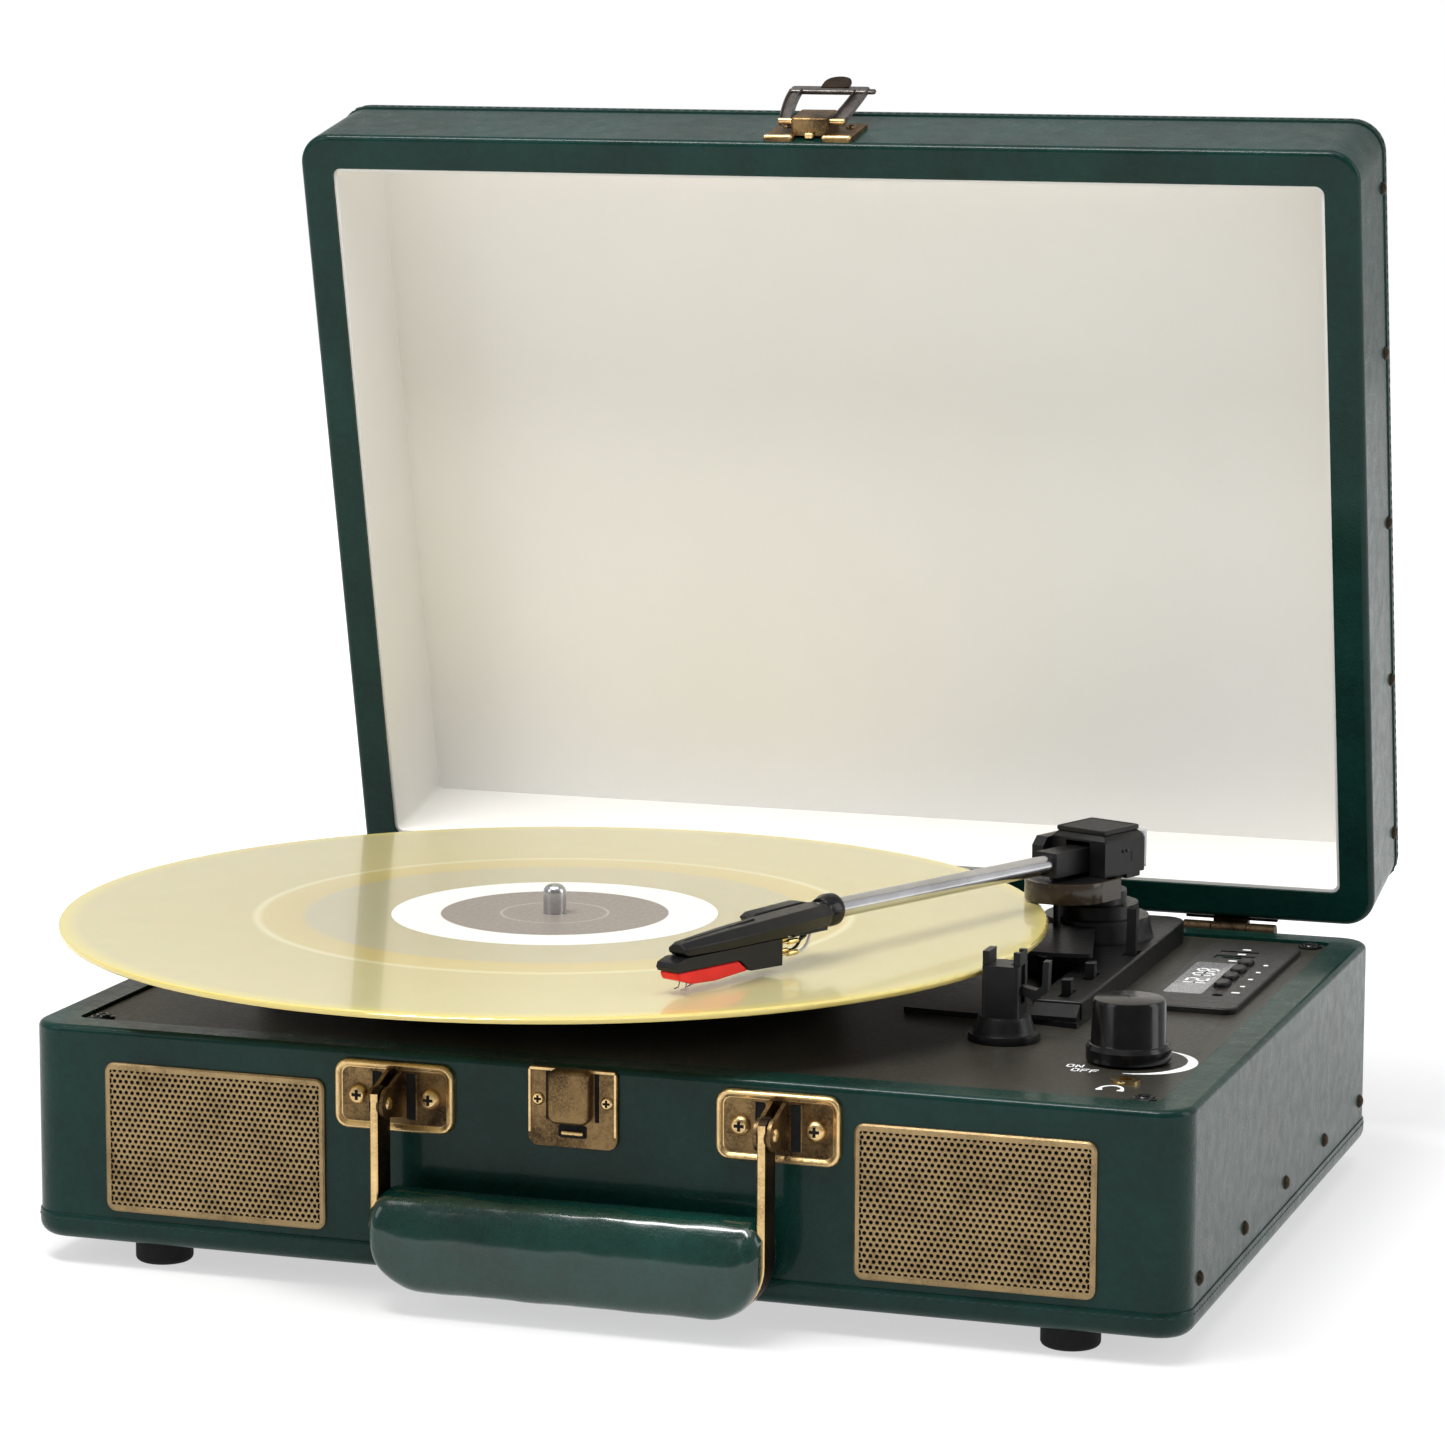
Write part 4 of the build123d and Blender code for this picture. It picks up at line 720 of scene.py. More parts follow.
BRACKET_X = 57.6
BRACKET_Z = CASE_BOTTOM + 51.0
BRACKET_W = 36.5
BRACKET_H = 20.2
PIVOT = place(JOINTS["handle_swing"]["pos_m"])
EAR_IN = 1.4
EAR_T = 1.2


def tray(piece, sheet, width, height, radius, floor, rim):
    """A plate with a rolled rim round a sunk field."""
    shapes = (
        (rounded(width, height, radius), -0.1), (rounded(width, height, radius), rim * 0.55),
        (rounded(width - 0.7, height - 0.7, radius - 0.3), rim * 0.9),
        (rounded(width - 1.6, height - 1.6, radius - 0.7), rim),
        (rounded(width - 2.6, height - 2.6, radius - 1.1), rim * 0.94),
        (rounded(width - 3.8, height - 3.8, radius - 1.5), floor + 0.25),
        (rounded(width - 4.6, height - 4.6, radius - 1.8), floor),
    )
    loops = [piece.trace(sheet, outline, z) for outline, z in shapes]
    piece.skin(loops, caps=(True, False))
    piece.bm.faces.new(loops[-1]).material_index = 1


plates = Piece("handle_brackets", BRASS_BRIGHT, BRASS, BRASS_DARK, CLOTH)
for side in (-1, 1):
    sheet = FRONT.moved(side * BRACKET_X, BRACKET_Z)
    tray(plates, sheet, BRACKET_W, BRACKET_H, 4.0, 1.2, 2.3)
    # dark slots that the ears are bent out of, drawn as black patches as painted shade in the openings
    for ear in (-1, 1):
        slot = sheet.moved(ear * 5.4, 0.3)
        plates.prism(slot, rounded(3.4, 13.5, 0.6), 1.1, 1.24, 3)
        plates.box(slot, (-1.7 if ear < 0 else 1.2, -6.7, 1.2), (-1.2 if ear < 0 else 1.7, 6.7, 1.5), 1)
        # ears, drawn on a sheet that looks along the pivot
        inner = side * BRACKET_X + ear * EAR_IN
        ear_sheet = Frame(at(inner, 0, 0), (0, 1, 0), (0, 0, 1))
        outline = []
        root = FRONT_Y - 1.1
        outline.append((root, PIVOT.z + 7.2))
        for step in range(13):
            angle = radians(70 + 220 * step / 12)
            outline.append((PIVOT.y + 4.6 * cos(angle), PIVOT.z + 4.6 * sin(angle)))
        outline.append((root, PIVOT.z - 6.4))
        span = sorted((0.0, ear * EAR_T))
        plates.prism(ear_sheet, outline, span[0], span[1], 1)
        rivet = Frame(at(inner + ear * EAR_T, PIVOT.y, PIVOT.z), (0, ear, 0), (0, 0, 1))
        dome = [(1.9, -0.2), (1.9, 0.25), (1.6, 0.6), (0.9, 0.85), (0.2, 0.9)]
        plates.lathe(rivet, dome, 16, 0)
plates.done("case", "antique_brass", ("handle_plates", "handle_pins"), bevel=0.3, sharp=42)

screws = Piece("front_screw_heads", BRASS_BRIGHT, CLOTH)
for side in (-1, 1):
    for offset in (-11, 11):
        sheet = FRONT.moved(side * BRACKET_X + offset, BRACKET_Z, 1.2)
        cross_head(screws, sheet, 3.0, 1.9, 3.0)
CATCH = middle_of("catch_plate")
CATCH_W = 26.8
CATCH_LOW = CASE_BOTTOM + 40.4
CATCH_HIGH = CASE_BOTTOM + 63.2
for offset in (-10.3, 10.3):
    sheet = FRONT.moved(CATCH.x + offset, CATCH_LOW + 13.5, 1.2)
    cross_head(screws, sheet, 1.9, 0.7, 2.2)
screws.done("case", "antique_brass", ("front_screws",), sharp=40)

# Strap: a flat band bent into a U; its front edge is bright brass as a painted highlight, its sides and
# back dark brown brass as painted shade
STRAP_T = 2.3
STRAP_W = 10.0
STRAP_BOTTOM = CASE_BOTTOM - 1.0
STRAP_BEND = 16.0
STRAP_HALF = BRACKET_X + STRAP_T / 2


def strap_path(inset, top):
    """The U of the strap, seen from the front, moved in by inset."""
    half = STRAP_HALF - inset
    bend = STRAP_BEND - inset
    low = STRAP_BOTTOM + inset
    path = [(-half, top), (-half, (top + low + bend) / 2)]
    for centre_x, start in ((-half + bend, 180), (half - bend, 270)):
        for step in range(13):
            angle = radians(start + 90 * step / 12)
            path.append((centre_x + bend * cos(angle), low + bend + bend * sin(angle)))
    path.append((half, (top + low + bend) / 2))
    path.append((half, top))
    return path


strap = Piece("handle_band", BRASS_BRIGHT, BRASS_BROWN)
front_strap = Frame(at(0, PIVOT.y, 0), (1, 0, 0), (0, 0, 1))
top = PIVOT.z + 3.6
corner = 0.35
# material 0 is the front edge with its painted highlight, material 1 the other faces with painted shade
for material, sides in (
    (0, ((0, STRAP_W / 2 - corner), (corner, STRAP_W / 2), (STRAP_T - corner, STRAP_W / 2),
         (STRAP_T, STRAP_W / 2 - corner))),
    (1, ((STRAP_T, STRAP_W / 2 - corner), (STRAP_T, -STRAP_W / 2 + corner),
         (STRAP_T - corner, -STRAP_W / 2), (corner, -STRAP_W / 2), (0, -STRAP_W / 2 + corner),
         (0, STRAP_W / 2 - corner))),
):
    loops = [strap.trace(front_strap, strap_path(inset, top), depth) for inset, depth in sides]
    strap.skin(loops, material, closed=False, caps=(False, False))
for side in (-1, 1):
    end = Frame(at(side * (STRAP_HALF - STRAP_T / 2) - STRAP_T / 2, PIVOT.y, PIVOT.z),
                (0, 1, 0), (0, 0, 1))
    strap.prism(end, circle(5.0, 32), 0.02, STRAP_T - 0.02, 1)
bmesh.ops.remove_doubles(strap.bm, verts=strap.bm.verts, dist=1e-6)
strap.done("handle", "antique_brass", ("handle_strap",), sharp=40)

# Grip: padded leather wrapped round the lower part of the strap
GRIP_TOP = CASE_BOTTOM + 27.5
GRIP_DEPTH = 21.0
GRIP_HALF = STRAP_HALF - 0.6
GRIP_LOW = STRAP_BOTTOM - 0.3
GRIP_BEND = STRAP_BEND - 0.6


def grip_section(x, sides=40):
    """The grip's outline across it, at x along it."""
    over = max(0.0, abs(x) - (GRIP_HALF - GRIP_BEND))
    low = GRIP_LOW + GRIP_BEND - sqrt(max(0.0, GRIP_BEND ** 2 - over ** 2))
    edge = GRIP_HALF - abs(x)
    drop = 4.0 * max(0.0, 1 - edge / 5.0) ** 2
    high = GRIP_TOP - drop
    depth = GRIP_DEPTH / 2 - 2.6 * max(0.0, 1 - edge / 3.2) ** 2
    points = []
    for step in range(sides):
        angle = 2 * pi * step / sides
        across, up = cos(angle), sin(angle)
        power = 0.8 if up > 0 else 0.5
        y = copysign(abs(across) ** power, across) * depth
        z = copysign(abs(up) ** (0.9 if up > 0 else 0.55), up)
        middle = low + (high - low) * 0.42
        height = middle + z * ((high - middle) if up > 0 else (middle - low))
        points.append((y, height))
    return points


grip = Piece("leather_grip", GRIP_GREEN, THREAD)
grip_loops = []
stations = [GRIP_HALF * sin(pi / 2 * i / 40) for i in range(-40, 41)]
for x in stations:
    points = []
    for y, z in grip_section(x):
        spot = Vector((x, y, z))
        swell = 0.22 * noise.noise(spot * 0.11) + 0.08 * noise.noise(spot * 0.45)
        out = Vector((0, y, z - (GRIP_TOP + GRIP_LOW) / 2)).normalized() * swell
        points.append(at(x, PIVOT.y + y + out.y, z + out.z))
    grip_loops.append(grip.loop(points))
grip.skin(grip_loops)
grip = grip.done("handle", "grip_leather", ("handle_grip",), sharp=70)

# Catch on the case
catch = Piece("catch", BRASS, BRASS_DARK, CLOTH, BRASS_BRIGHT)
sheet = FRONT.moved(CATCH.x, 0)
half = CATCH_W / 2
lower = rounded(CATCH_W, 24, 3.0, 6, (0, CATCH_LOW + 12))
plate = [(x, min(y, CATCH_HIGH)) for x, y in lower]
catch.prism(sheet, plate, -0.1, 1.2, 0)
# thin bright strips on the side and top edges are painted highlights; black strips beside the block and a
# black patch round the small tab are painted shade
for side in (-1, 1):
    catch.prism(sheet.moved(side * (half - 0.55), (CATCH_LOW + CATCH_HIGH) / 2 + 1.5),
                rounded(0.7, CATCH_HIGH - CATCH_LOW - 4.5, 0.3), 1.1, 1.6, 3)
    catch.prism(sheet.moved(side * 7.35, CATCH_LOW + 15.2), rounded(1.3, 15.0, 0.3), 1.1, 1.26, 2)
catch.prism(sheet.moved(0, CATCH_HIGH - 0.5), rounded(CATCH_W - 1.2, 0.8, 0.3), 1.1, 1.6, 3)
catch.prism(sheet.moved(0, CATCH_LOW + 4.7), rounded(8.6, 3.8, 0.8), 1.1, 1.26, 2)
catch.pillow(sheet.moved(0, CATCH_LOW + 4.2), (6.6, 1.4), 0.5, 1.1, 2.1, 0.5, 3)
catch.pillow(sheet.moved(0, CATCH_LOW + 15.2), (12.4, 15.6), 2.4, 1.1, 5.6, 1.2, 0)
catch.done("case", "antique_brass", ("catch_plate",), bevel=0.3, sharp=50)

# Latch on the lid: plate, block and the loop that lies back
LATCH = place(JOINTS["latch_swing"]["pos_m"])
LATCH_X = LATCH.x
latch = Piece("latch_base", BRASS, BRASS_DARK, CLOTH, BRASS_BRIGHT)
sheet = LID_FRONT.moved(LATCH_X, LID_BOTTOM)
for side in (-1, 1):
    # each half of the plate ends in a folded lip with a bright edge
    latch.prism(sheet.moved(side * 9.6, 11.5), rounded(9.6, 20, 1.2), -0.1, 1.2, 1)
    latch.pillow(sheet.moved(side * 9.6, 2.6), (9.6, 2.2), 0.8, 1.0, 2.0, 0.9, 3)
    cross_head(latch, sheet.moved(side * 10.4, 16, 1.2), 1.8, 0.6, 2.0, 0, 2)
latch.prism(sheet.moved(0, 14), rounded(11, 11, 0.8), -0.1, 1.1, 1)
latch.pillow(sheet.moved(0, 11.6), (12.6, 12.0), 1.4, 0.9, 6.6, 1.0, 0)
latch.pillow(sheet.moved(0, 4.7), (3.0, 1.8), 0.7, 0.5, 2.2, 0.7, 3)
latch.done("lid", "antique_brass", ("latch_plate",), bevel=0.3, sharp=50)

LEAN = radians(12)
latch_pivot = HINGE + SWING @ (at(LATCH_X, FRONT_Y - 5.0, LID_BOTTOM + 8.0) - HINGE)
up = SWING @ Vector((0, -sin(LEAN), cos(LEAN)))
LOOP = Frame(latch_pivot, (1, 0, 0), up)
loop = Piece("latch_bail", GUNMETAL, BRASS_BRIGHT, BRASS_BROWN)
for side in (-1, 1):
    # side rails: channels that flare outwards as they rise, with their edges turned up
    sections = []
    for step in range(13):
        share = step / 12
        flare = side * (8.6 + 2.2 * sin(share * pi / 2))
        curl = 1.3 * (1 - share) ** 3
        sections.append(loop.loop([
            LOOP.to(flare + side * x, 20.6 * share - 0.4, z - (curl if x > 1 else 0.4 * curl))
            for x, z in ((-2.3, 0.1), (-2.1, 1.9), (-1.8, 1.9), (-1.6, 0.3), (1.4, 0.3),
                         (1.8, 1.5), (2.1, 1.5), (2.3, 0.0), (1.6, -0.3), (-1.6, -0.3))
        ]))
    loop.skin(sections, 0)
loop.pillow(LOOP.moved(0, 21.4), (26, 3.8), 1.2, -0.3, 1.1, 0.5, 0)
loop.pillow(LOOP.moved(13.6, 21.0), (3.4, 2.4), 0.9, -0.2, 0.8, 0.4, 0)
TAB_HALF = 4.6
tab = [(-TAB_HALF, -0.8)]
for turn in range(180, -1, -12):
    angle = radians(turn)
    tab.append((TAB_HALF * cos(angle), 6.4 * sin(angle) ** 0.6 + 0.4))
tab.append((TAB_HALF, -0.8))
loop.prism(LOOP.moved(1.6, 22.6), tab, 0.5, 1.5, 2)
pin = Frame(LOOP.to(-11.0, 0), LOOP.y, LOOP.z)
loop.lathe(pin, [(0.6, 0.0), (1.0, 0.3), (1.0, 21.7), (0.6, 22.0)], 16, 1)
loop.done("latch_loop", "antique_brass", ("latch_loop",), bevel=0.2, sharp=45)

# ---- tonearm
head = Piece("arm_head_block", BLACK, BLACK_GRAIN)
half = 10.5
cheek = 4.5
outline = [(-half, -half), (half, -half), (half, -cheek), (-8.6, -cheek),
           (-8.6, cheek), (half, cheek), (half, half), (-half, half)]
head.prism(HEAD, outline, -5.2, 5.7)
shoulder = [(21.0, 5.6), (21.0, 6.3), (17.8, 8.0), (17.8, 8.1)]
head.skin([head.trace(HEAD, rounded(w, w, 0.9, 3), z) for w, z in shoulder])
cap_rows = [(18.6, 8.1), (18.6, 9.2), (18.0, 9.5), (17.2, 9.5), (17.0, 9.3)]
loops = [head.trace(HEAD, rounded(w, w, 0.7, 3), z) for w, z in cap_rows]
head.skin(loops, 0, caps=(True, False))
head.bm.faces.new(loops[-1]).material_index = 1
# a slot and two dots on the right cheek, and a second block beyond the arm
cheek_sheet = Frame(HEAD.to(0, half, 0), HEAD.x, HEAD.z * -1)
head.box(cheek_sheet, (-4.2, -1.8, -0.1), (-3.6, 1.6, 0.12), 1)
for along in (-1.0, 0.9):
    head.lathe(cheek_sheet.moved(along, -2.2), [(0.55, -0.2), (0.55, 0.3), (0.3, 0.4)], 12, 0)
head.box(HEAD, (-9.0, 4.6, -6.8), (-2.0, half - 0.6, -5.1))
side_block = [(-6.0, -1.0), (15.0, -1.0), (15.0, 3.4), (12.6, 6.0), (-3.0, 6.0), (-6.0, 4.6)]
head.prism(HEAD_SIDE, side_block, half - 0.4, 14.4)
# a web closes the drum below the arm
DRUM_X = 15.5
DRUM_R = 12.4
web = [(3.0, -12.6)]
for step in range(-12, 13):
    web.append((DRUM_X + DRUM_R * cos(step / 8), DRUM_R * sin(step / 8)))
web.append((3.0, 12.6))
head.prism(HEAD, web, -5.4, -5.2)
head.lathe(HEAD, [(3.0, BOARD_TOP + 2.4 - place(HEAD.origin).z), (3.0, -7.6), (6.6, -7.6), (8.0, -7.0),
                  (8.0, -5.1)], 32)
head.done("arm_head", "black_plastic", ("arm_head",), bevel=0.35, sharp=38)


def across_arm(piece, stations):
    """Faceted sections: where along the arm, three half widths and their heights, foot first."""
    loops = []
    for x, foot, middle, crown, low, mid, high in stations:
        points = ((foot, low), (middle, mid), (crown, high), (-crown, high), (-middle, mid), (-foot, low))
        loops.append(piece.loop([ARM.to(x, y, z) for y, z in points]))
    piece.skin(loops)


shell = Piece("headshell_body", BLACK, CLOTH, BLACK_GLOSS)
across_arm(shell, (
    (COLLAR + 3.5, 3.0, 4.0, 2.2, -3.0, 0.2, 2.8), (COLLAR + 8, 4.8, 6.0, 3.2, -3.4, 0.2, 2.7),
    (NEEDLE - 36, 5.0, 6.2, 3.1, -4.0, -0.4, 1.9), (NEEDLE - 16, 4.2, 5.0, 2.5, -4.3, -1.4, 0.9),
    (NEEDLE + 2.4, 3.2, 3.6, 1.9, -4.3, -2.0, -0.4), (NEEDLE + 4.2, 2.8, 3.1, 1.5, -3.3, -2.2, -1.0),
))
slope = ARM.to(NEEDLE + 2.4, 0, -0.4) - ARM.to(NEEDLE - 16, 0, 0.9)
groove = Frame(ARM.to(NEEDLE - 16, 0, 0.95), slope, ARM.y)
shell.box(groove, (-14.0, -0.35, -0.8), (17.0, 0.35, 0.12), 1)
lift_block = [(-60, -1.4), (-36, -1.4), (-34, 0.8), (-36.5, 2.0), (-57, 2.7), (-60, 2.2)]
shell.prism(TIP_SIDE, lift_block, 4.6, 9.2)
collar = Frame(ARM.to(COLLAR - 1, 0, 0), ARM.y, ARM.z)
shell.lathe(collar, [(3.1, 0.0), (4.3, 0.2), (4.9, 1.2), (4.9, 4.2), (4.3, 5.6), (4.0, 7.0)], 32, 2)
shell.box(ARM, (COLLAR + 6, -3.4, -5.0), (NEEDLE - 44, 3.4, -3.3))
shell.done("tonearm", "black_plastic", ("headshell",), bevel=0.4, sharp=30)

cell = Piece("cartridge_body", BLACK, GOLD, WHITE_PLASTIC, BLACK_GLOSS)
cell.prism(TIP_SIDE, [
    (-38.5, -4.5), (4.6, -4.5), (8.0, -5.6), (8.6, -7.0),
    (7.8, -8.2), (-19.5, -8.3), (-24.5, -12.0), (-38.5, -12.4),
], -3.8, 3.8)
for y, z, sleeve in ((-1.9, -6.4, 2), (1.9, -6.4, 3), (-1.9, -9.8, 3), (1.9, -9.8, 2)):
    spots = [ARM.to(NEEDLE - reach, y, z) for reach in (38.0, 44.0)]
    cell.tube(spots, 0.42, 8, 1)
    spots = [ARM.to(NEEDLE - reach, y, z) for reach in (42.5, 43.0, 47.2, 47.6)]
    cell.tube(spots, [0.5, 0.8, 0.8, 0.5], 10, 1)
    wire = [(47.2, 0.0), (49.0, -0.2), (51.2, 0.6), (52.6, 2.0), (53.4, 3.6), (53.8, -z - 4.6)]
    spots = [ARM.to(NEEDLE - reach, y * 0.8, z + rise) for reach, rise in wire if z + rise < -4.3]
    cell.tube(spots, 0.5, 8, sleeve)
cell.done("tonearm", "black_plastic", ("cartridge",), bevel=0.45, sharp=32)

stylus = Piece("stylus_body", RED)
stylus.prism(TIP_SIDE, [
    (7.6, -8.35), (-19.4, -8.5), (-23.6, -11.8), (-9, -12.8), (1, -12.3), (6.6, -10.6),
], -3.5, 3.5)
stylus.done("tonearm", "red_plastic", ("stylus_holder",), bevel=0.6, segments=3, sharp=28)

TIP_DROP = middle_of("record").z + 1.15 - place(TIP.origin).z
point = Piece("stylus_tip", STEEL)
spots = [(-8.0, -12.4), (-4.0, TIP_DROP + 2.0), (-0.2, TIP_DROP + 0.9), (0.3, TIP_DROP + 0.95)]
point.tube([TIP.to(x, 0, z) for x, z in spots], [0.42, 0.38, 0.3, 0.26], 10)
point.tube([TIP.to(0, 0, TIP_DROP + 1.1), TIP.to(0, 0, TIP_DROP)], [0.3, 0.06], 8)
for y in (-1.3, 1.3):
    guard = [(1.0, -12.0), (1.6, -13.6), (3.6, -13.9)]
    point.tube([TIP.to(x, y, z) for x, z in guard], 0.2, 8)
point.done("tonearm", "bright_steel", ("needle",), sharp=60)

# ---- deck
KNOB = place(JOINTS["volume_turn"]["pos_m"])
knob_sheet = FLAT.moved(KNOB.x, KNOB.y, DECK_TOP)


def spun(name, centre):
    """Spun aluminium: fine rings about an upright axis."""
    look = Look(name, Metallic=1.0)
    lines = look.rings(centre, 5.0)
    look.colour(look.ramp(lines, (0.3, (0.42, 0.4, 0.36)), (0.7, (0.66, 0.63, 0.57))))
    look.roughness(look.span(lines, 0.3, 0.7, 0.24, 0.36))
    look.bump(lines, 0.03, 0.6)
    return look.material


knob = Piece("volume_cap", BLACK_GLOSS, spun("spun_metal", knob_sheet.origin))
knob.lathe(knob_sheet, [
    (2.6, -8.0), (2.6, 0.6), (11.8, 0.6), (12.2, 1.0), (12.2, 4.2), (11.4, 5.4), (11.0, 5.6),
    (10.8, 6.0), (10.5, 17.4), (10.0, 18.3), (9.5, 18.5),
], 72)
knob.lathe(knob_sheet, [(9.5, 18.3), (9.5, 18.42), (0.4, 18.5)], 72, 1)
knob.done("volume_knob", "knob_gloss", ("volume_knob",), sharp=28)

screws = Piece("deck_screw_heads", BLACK_GLOSS, CLOTH)
low, high = box_of("deck_screws")
for x in (low.x + 3.6, high.x - 3.6):
    for y in (low.y + 3.6, high.y - 3.6):
        spot = FLAT.moved(x, y, DECK_TOP)
        screws.lathe(spot, [(3.7, -1.8), (3.7, 0.5), (3.3, 0.8), (2.6, 0.5), (2.5, 0.3)], 28)
        cross_head(screws, spot, 2.5, 1.3, 3.0)
screws.done("case", "black_steel", ("deck_screws",), sharp=40)

# Hinge screws on the back, two to a leaf
for body, sheet, rise in (("case", REAR, -14.0), ("lid", LID_REAR, 11.0)):
    screws = Piece(body + "_hinge_screws", BRASS_DARK, CLOTH)
    for across in (-136, -118, 118, 136):
        cross_head(screws, sheet.moved(across, CASE_TOP + rise, 1.0), 2.5, 0.9, 2.7)
    screws.done(body, "antique_brass", sharp=40)


def stroke(piece, sheet, start, end, width, low, high, material=0):
    """A straight printed line."""
    (x0, y0), (x1, y1) = start, end
    reach = hypot(x1 - x0, y1 - y0)
    along = sheet.to(x1, y1) - sheet.to(x0, y0)
    turned = Frame(sheet.to(x0, y0), along, sheet.y * (x1 - x0) - sheet.x * (y1 - y0))
    piece.box(turned, (-width / 2, -width / 2, low), (reach + width / 2, width / 2, high), material)


def arc_band(piece, sheet, spots, low, high, material=0):
    """A printed curve: points down its middle with a width at each."""
    rows = []
    for i, (x, y, width) in enumerate(spots):
        x0, y0, _ = spots[max(i - 1, 0)]
        x1, y1, _ = spots[min(i + 1, len(spots) - 1)]
        reach = hypot(x1 - x0, y1 - y0)
        nx, ny = -(y1 - y0) / reach * width / 2, (x1 - x0) / reach * width / 2
        rows.append(piece.loop([
            sheet.to(x - nx, y - ny, low), sheet.to(x + nx, y + ny, low),
            sheet.to(x + nx, y + ny, high), sheet.to(x - nx, y - ny, high),
        ]))
    piece.skin(rows, material)


INK = 0.06
LETTERS = {
    "O": (((0, 0), (0, 1)), ((0, 1), (1, 1)), ((1, 1), (1, 0)), ((1, 0), (0, 0))),
    "N": (((0, 0), (0, 1)), ((0, 1), (1, 0)), ((1, 0), (1, 1))),
    "F": (((0, 0), (0, 1)), ((0, 1), (1, 1)), ((0, 0.5), (0.8, 0.5))),
}
prints = Piece("deck_prints", PRINT)
LETTER_W = 1.7
LETTER_H = 3.2
for word, x, y in (("ON", -15.0, -12.4), ("OFF", -12.4, -17.2)):
    for place_in_word, letter in enumerate(word):
        corner = knob_sheet.moved(x + place_in_word * (LETTER_W + 1.0), y)
        for line in LETTERS[letter]:
            start, end = [(across * LETTER_W, up * LETTER_H) for across, up in line]
            stroke(prints, corner, start, end, 0.5, 0, INK)
crescent = []
for step in range(33):
    share = step / 32
    angle = radians(72 - 165 * share)
    reach = 16.4 - 1.3 * sin(pi * share)
    crescent.append((3.0 + reach * cos(angle), 0.6 + reach * sin(angle),
                     0.25 + 3.0 * sin(pi * share)))
arc_band(prints, knob_sheet, crescent, 0, INK)
jack_spot = middle_of("headphone_jack")
band = []
for step in range(17):
    angle = radians(205 - 230 * step / 16)
    band.append((3.2 * cos(angle), -10.0 + 4.2 * sin(angle), 0.9 if 1 < step < 15 else 1.9))
arc_band(prints, FLAT.moved(jack_spot.x - 1.8, jack_spot.y, DECK_TOP), band, 0, INK)
prints.done("case", "deck_black", sharp=40)

PANEL_TOP = DECK_TOP + 2.0
panel_sheet = Frame(at(0, 0, PANEL_TOP), (0, 1, 0), (-1, 0, 0))
window = Piece("display_glass", DISPLAY, PRINT)
window.pillow(panel_sheet.moved(44.5, -137.0), (47, 12), 1.0, -0.9, 0.14, 0.08)
SEGMENTS = {
    "1": "bc", "2": "abged", "0": "abcdef", "8": "abcdefg",
}
BARS = {
    "a": ((0, 2), (1, 2)), "b": ((1, 2), (1, 1)), "c": ((1, 1), (1, 0)), "d": ((1, 0), (0, 0)),
    "e": ((0, 0), (0, 1)), "f": ((0, 1), (0, 2)), "g": ((0, 1), (1, 1)),
}
for number, digit in enumerate("1208"):
    corner = panel_sheet.moved(33 + number * 6.4 + (2.0 if number > 1 else 0.0), -140.2)
    for bar in SEGMENTS[digit]:
        start, end = [(across * 3.6, up * 3.1) for across, up in BARS[bar]]
        stroke(window, corner, start, end, 0.85, 0.1, 0.2, 1)
window.done("case", "display_glass", ("display_window",), sharp=40)

marks = Piece("panel_prints", PRINT)
for y in (36.0, 47.0, 58.0, 69.0):
    marks.prism(panel_sheet.moved(y, -152.3), rounded(1.5, 1.5, 0.4), 0, INK)
for along, across in ((26.4, -152.3), (72.6, -141.0), (83.5, -141.5), (90.8, -141.5)):
    marks.prism(panel_sheet.moved(along, across), rounded(1.5, 2.6, 0.3), 0, INK)
marks.done("case", "panel_plastic", sharp=40)

# ---- camera and light
CAMERA = MIDDLE + Vector((0.46544, -1.39727, 0.38134))
YAW, PITCH, ROLL = -0.32296, 0.15497, 0.00352
forward = Vector((sin(YAW) * cos(PITCH), cos(YAW) * cos(PITCH), -sin(PITCH)))
right = Vector((cos(YAW), -sin(YAW), 0))
upward = right.cross(forward)
camera_right = right * cos(ROLL) + upward * sin(ROLL)
camera_up = upward * cos(ROLL) - right * sin(ROLL)
camera = add_object("camera", bpy.data.cameras.new("camera"))
camera.data.lens = 122.34
camera.data.sensor_width = 36
turned = Matrix((camera_right, camera_up, -forward)).transposed().to_4x4()
camera.matrix_world = Matrix.Translation(CAMERA) @ turned
bpy.context.scene.camera = camera
bpy.context.scene.view_settings.view_transform = "Standard"


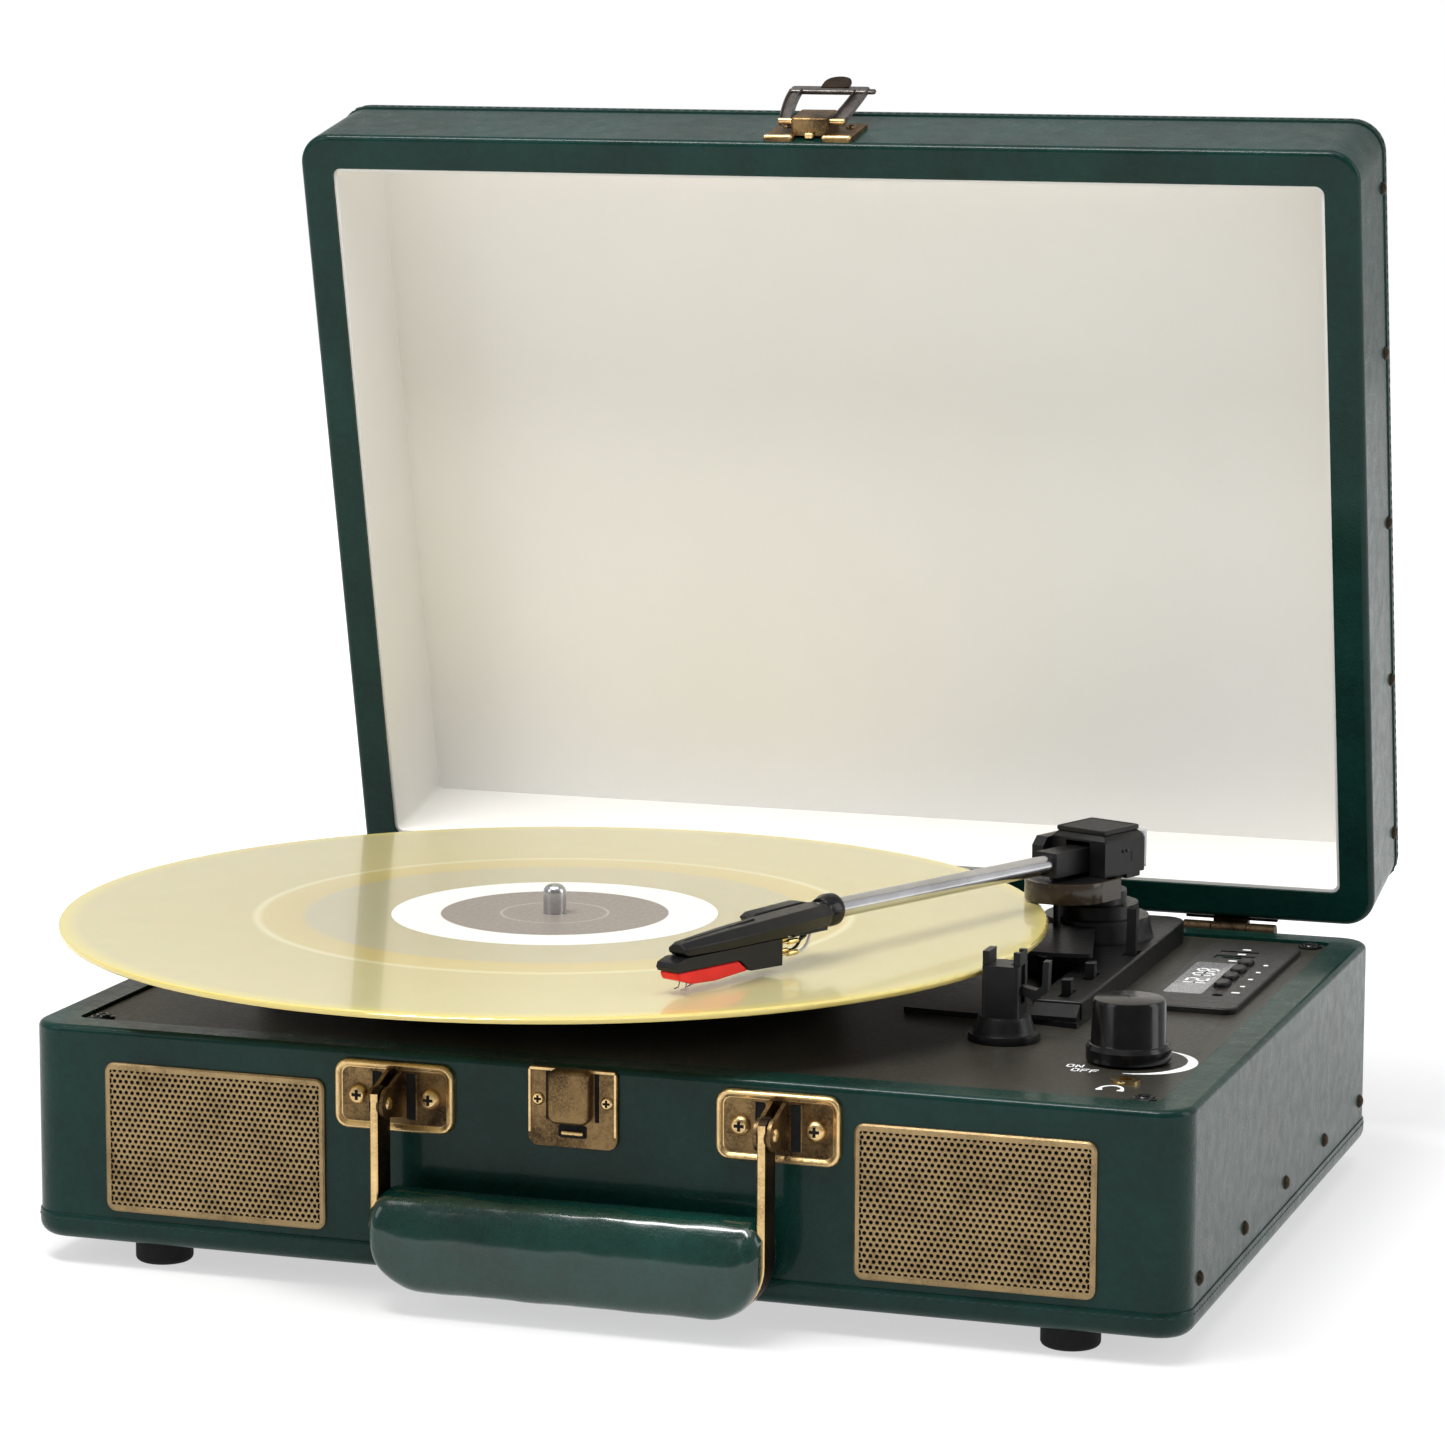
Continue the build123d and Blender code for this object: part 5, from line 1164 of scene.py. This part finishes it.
def softbox(name, spot, target, size, watts):
    light = add_object(name, bpy.data.lights.new(name, "AREA"))
    light.data.shape = "RECTANGLE"
    light.data.size, light.data.size_y = size
    light.data.energy = watts
    light.location = spot
    light.rotation_euler = (Vector(target) - Vector(spot)).to_track_quat("-Z", "Y").to_euler()


softbox("overhead", (0.1, -0.35, 1.75), (0, 0.0, 0.1), (1.6, 1.0), 12.5)
softbox("strip", (-0.3, -0.55, 1.5), (0, -0.1, 0.1), (1.0, 0.2), 18)
softbox("left_front", (-1.5, -1.5, 1.2), (0, 0, 0.15), (1.0, 1.2), 8.5)
softbox("right_side", (1.9, 0.3, 0.8), (0.1, 0, 0.1), (0.8, 1.4), 9)

world = bpy.data.worlds.new("studio")
bpy.context.scene.world = world
world.use_nodes = True
tree = world.node_tree
split = add_node(tree, "SeparateXYZ", Vector=tree.nodes.new("ShaderNodeTexCoord").outputs["Generated"])
shade = add_node(tree, "MapRange", Value=split.outputs["Y"], From_Min=-0.75, From_Max=0.35,
                 To_Min=0.25, To_Max=0.6)
seen = tree.nodes.new("ShaderNodeLightPath").outputs["Is Camera Ray"]
mix = add_node(tree, "Mix", Factor=seen, A=shade.outputs["Result"], B=1.0)
background = tree.nodes["Background"]
background.inputs["Color"].default_value = (1, 1, 1, 1)
fill(tree, background.inputs["Strength"], mix.outputs["Result"])

# The paper glows with painted light: less under the object, fading to pure white away from it
WHITE_FROM = 0.25
WHITE_AT = 0.75
paper = Look("white_paper", Base_Color=(0.38, 0.38, 0.38), Roughness=0.8, Specular_IOR_Level=0.1,
             Emission_Color=(1, 1, 1))
reach = combine(paper.tree, "VectorMath", "LENGTH", paper.coordinates)["Value"]
paper.set("Emission Strength", paper.span(reach, WHITE_FROM, WHITE_AT, 0.58, 1.0))
floor = Piece("floor")
floor.box(FLAT, (-3000, -3000, -10), (3000, 3000, 0))
floor_mesh = bpy.data.meshes.new("floor")
floor.bm.to_mesh(floor_mesh)
floor_mesh.materials.append(paper.material)
add_object("floor", floor_mesh)
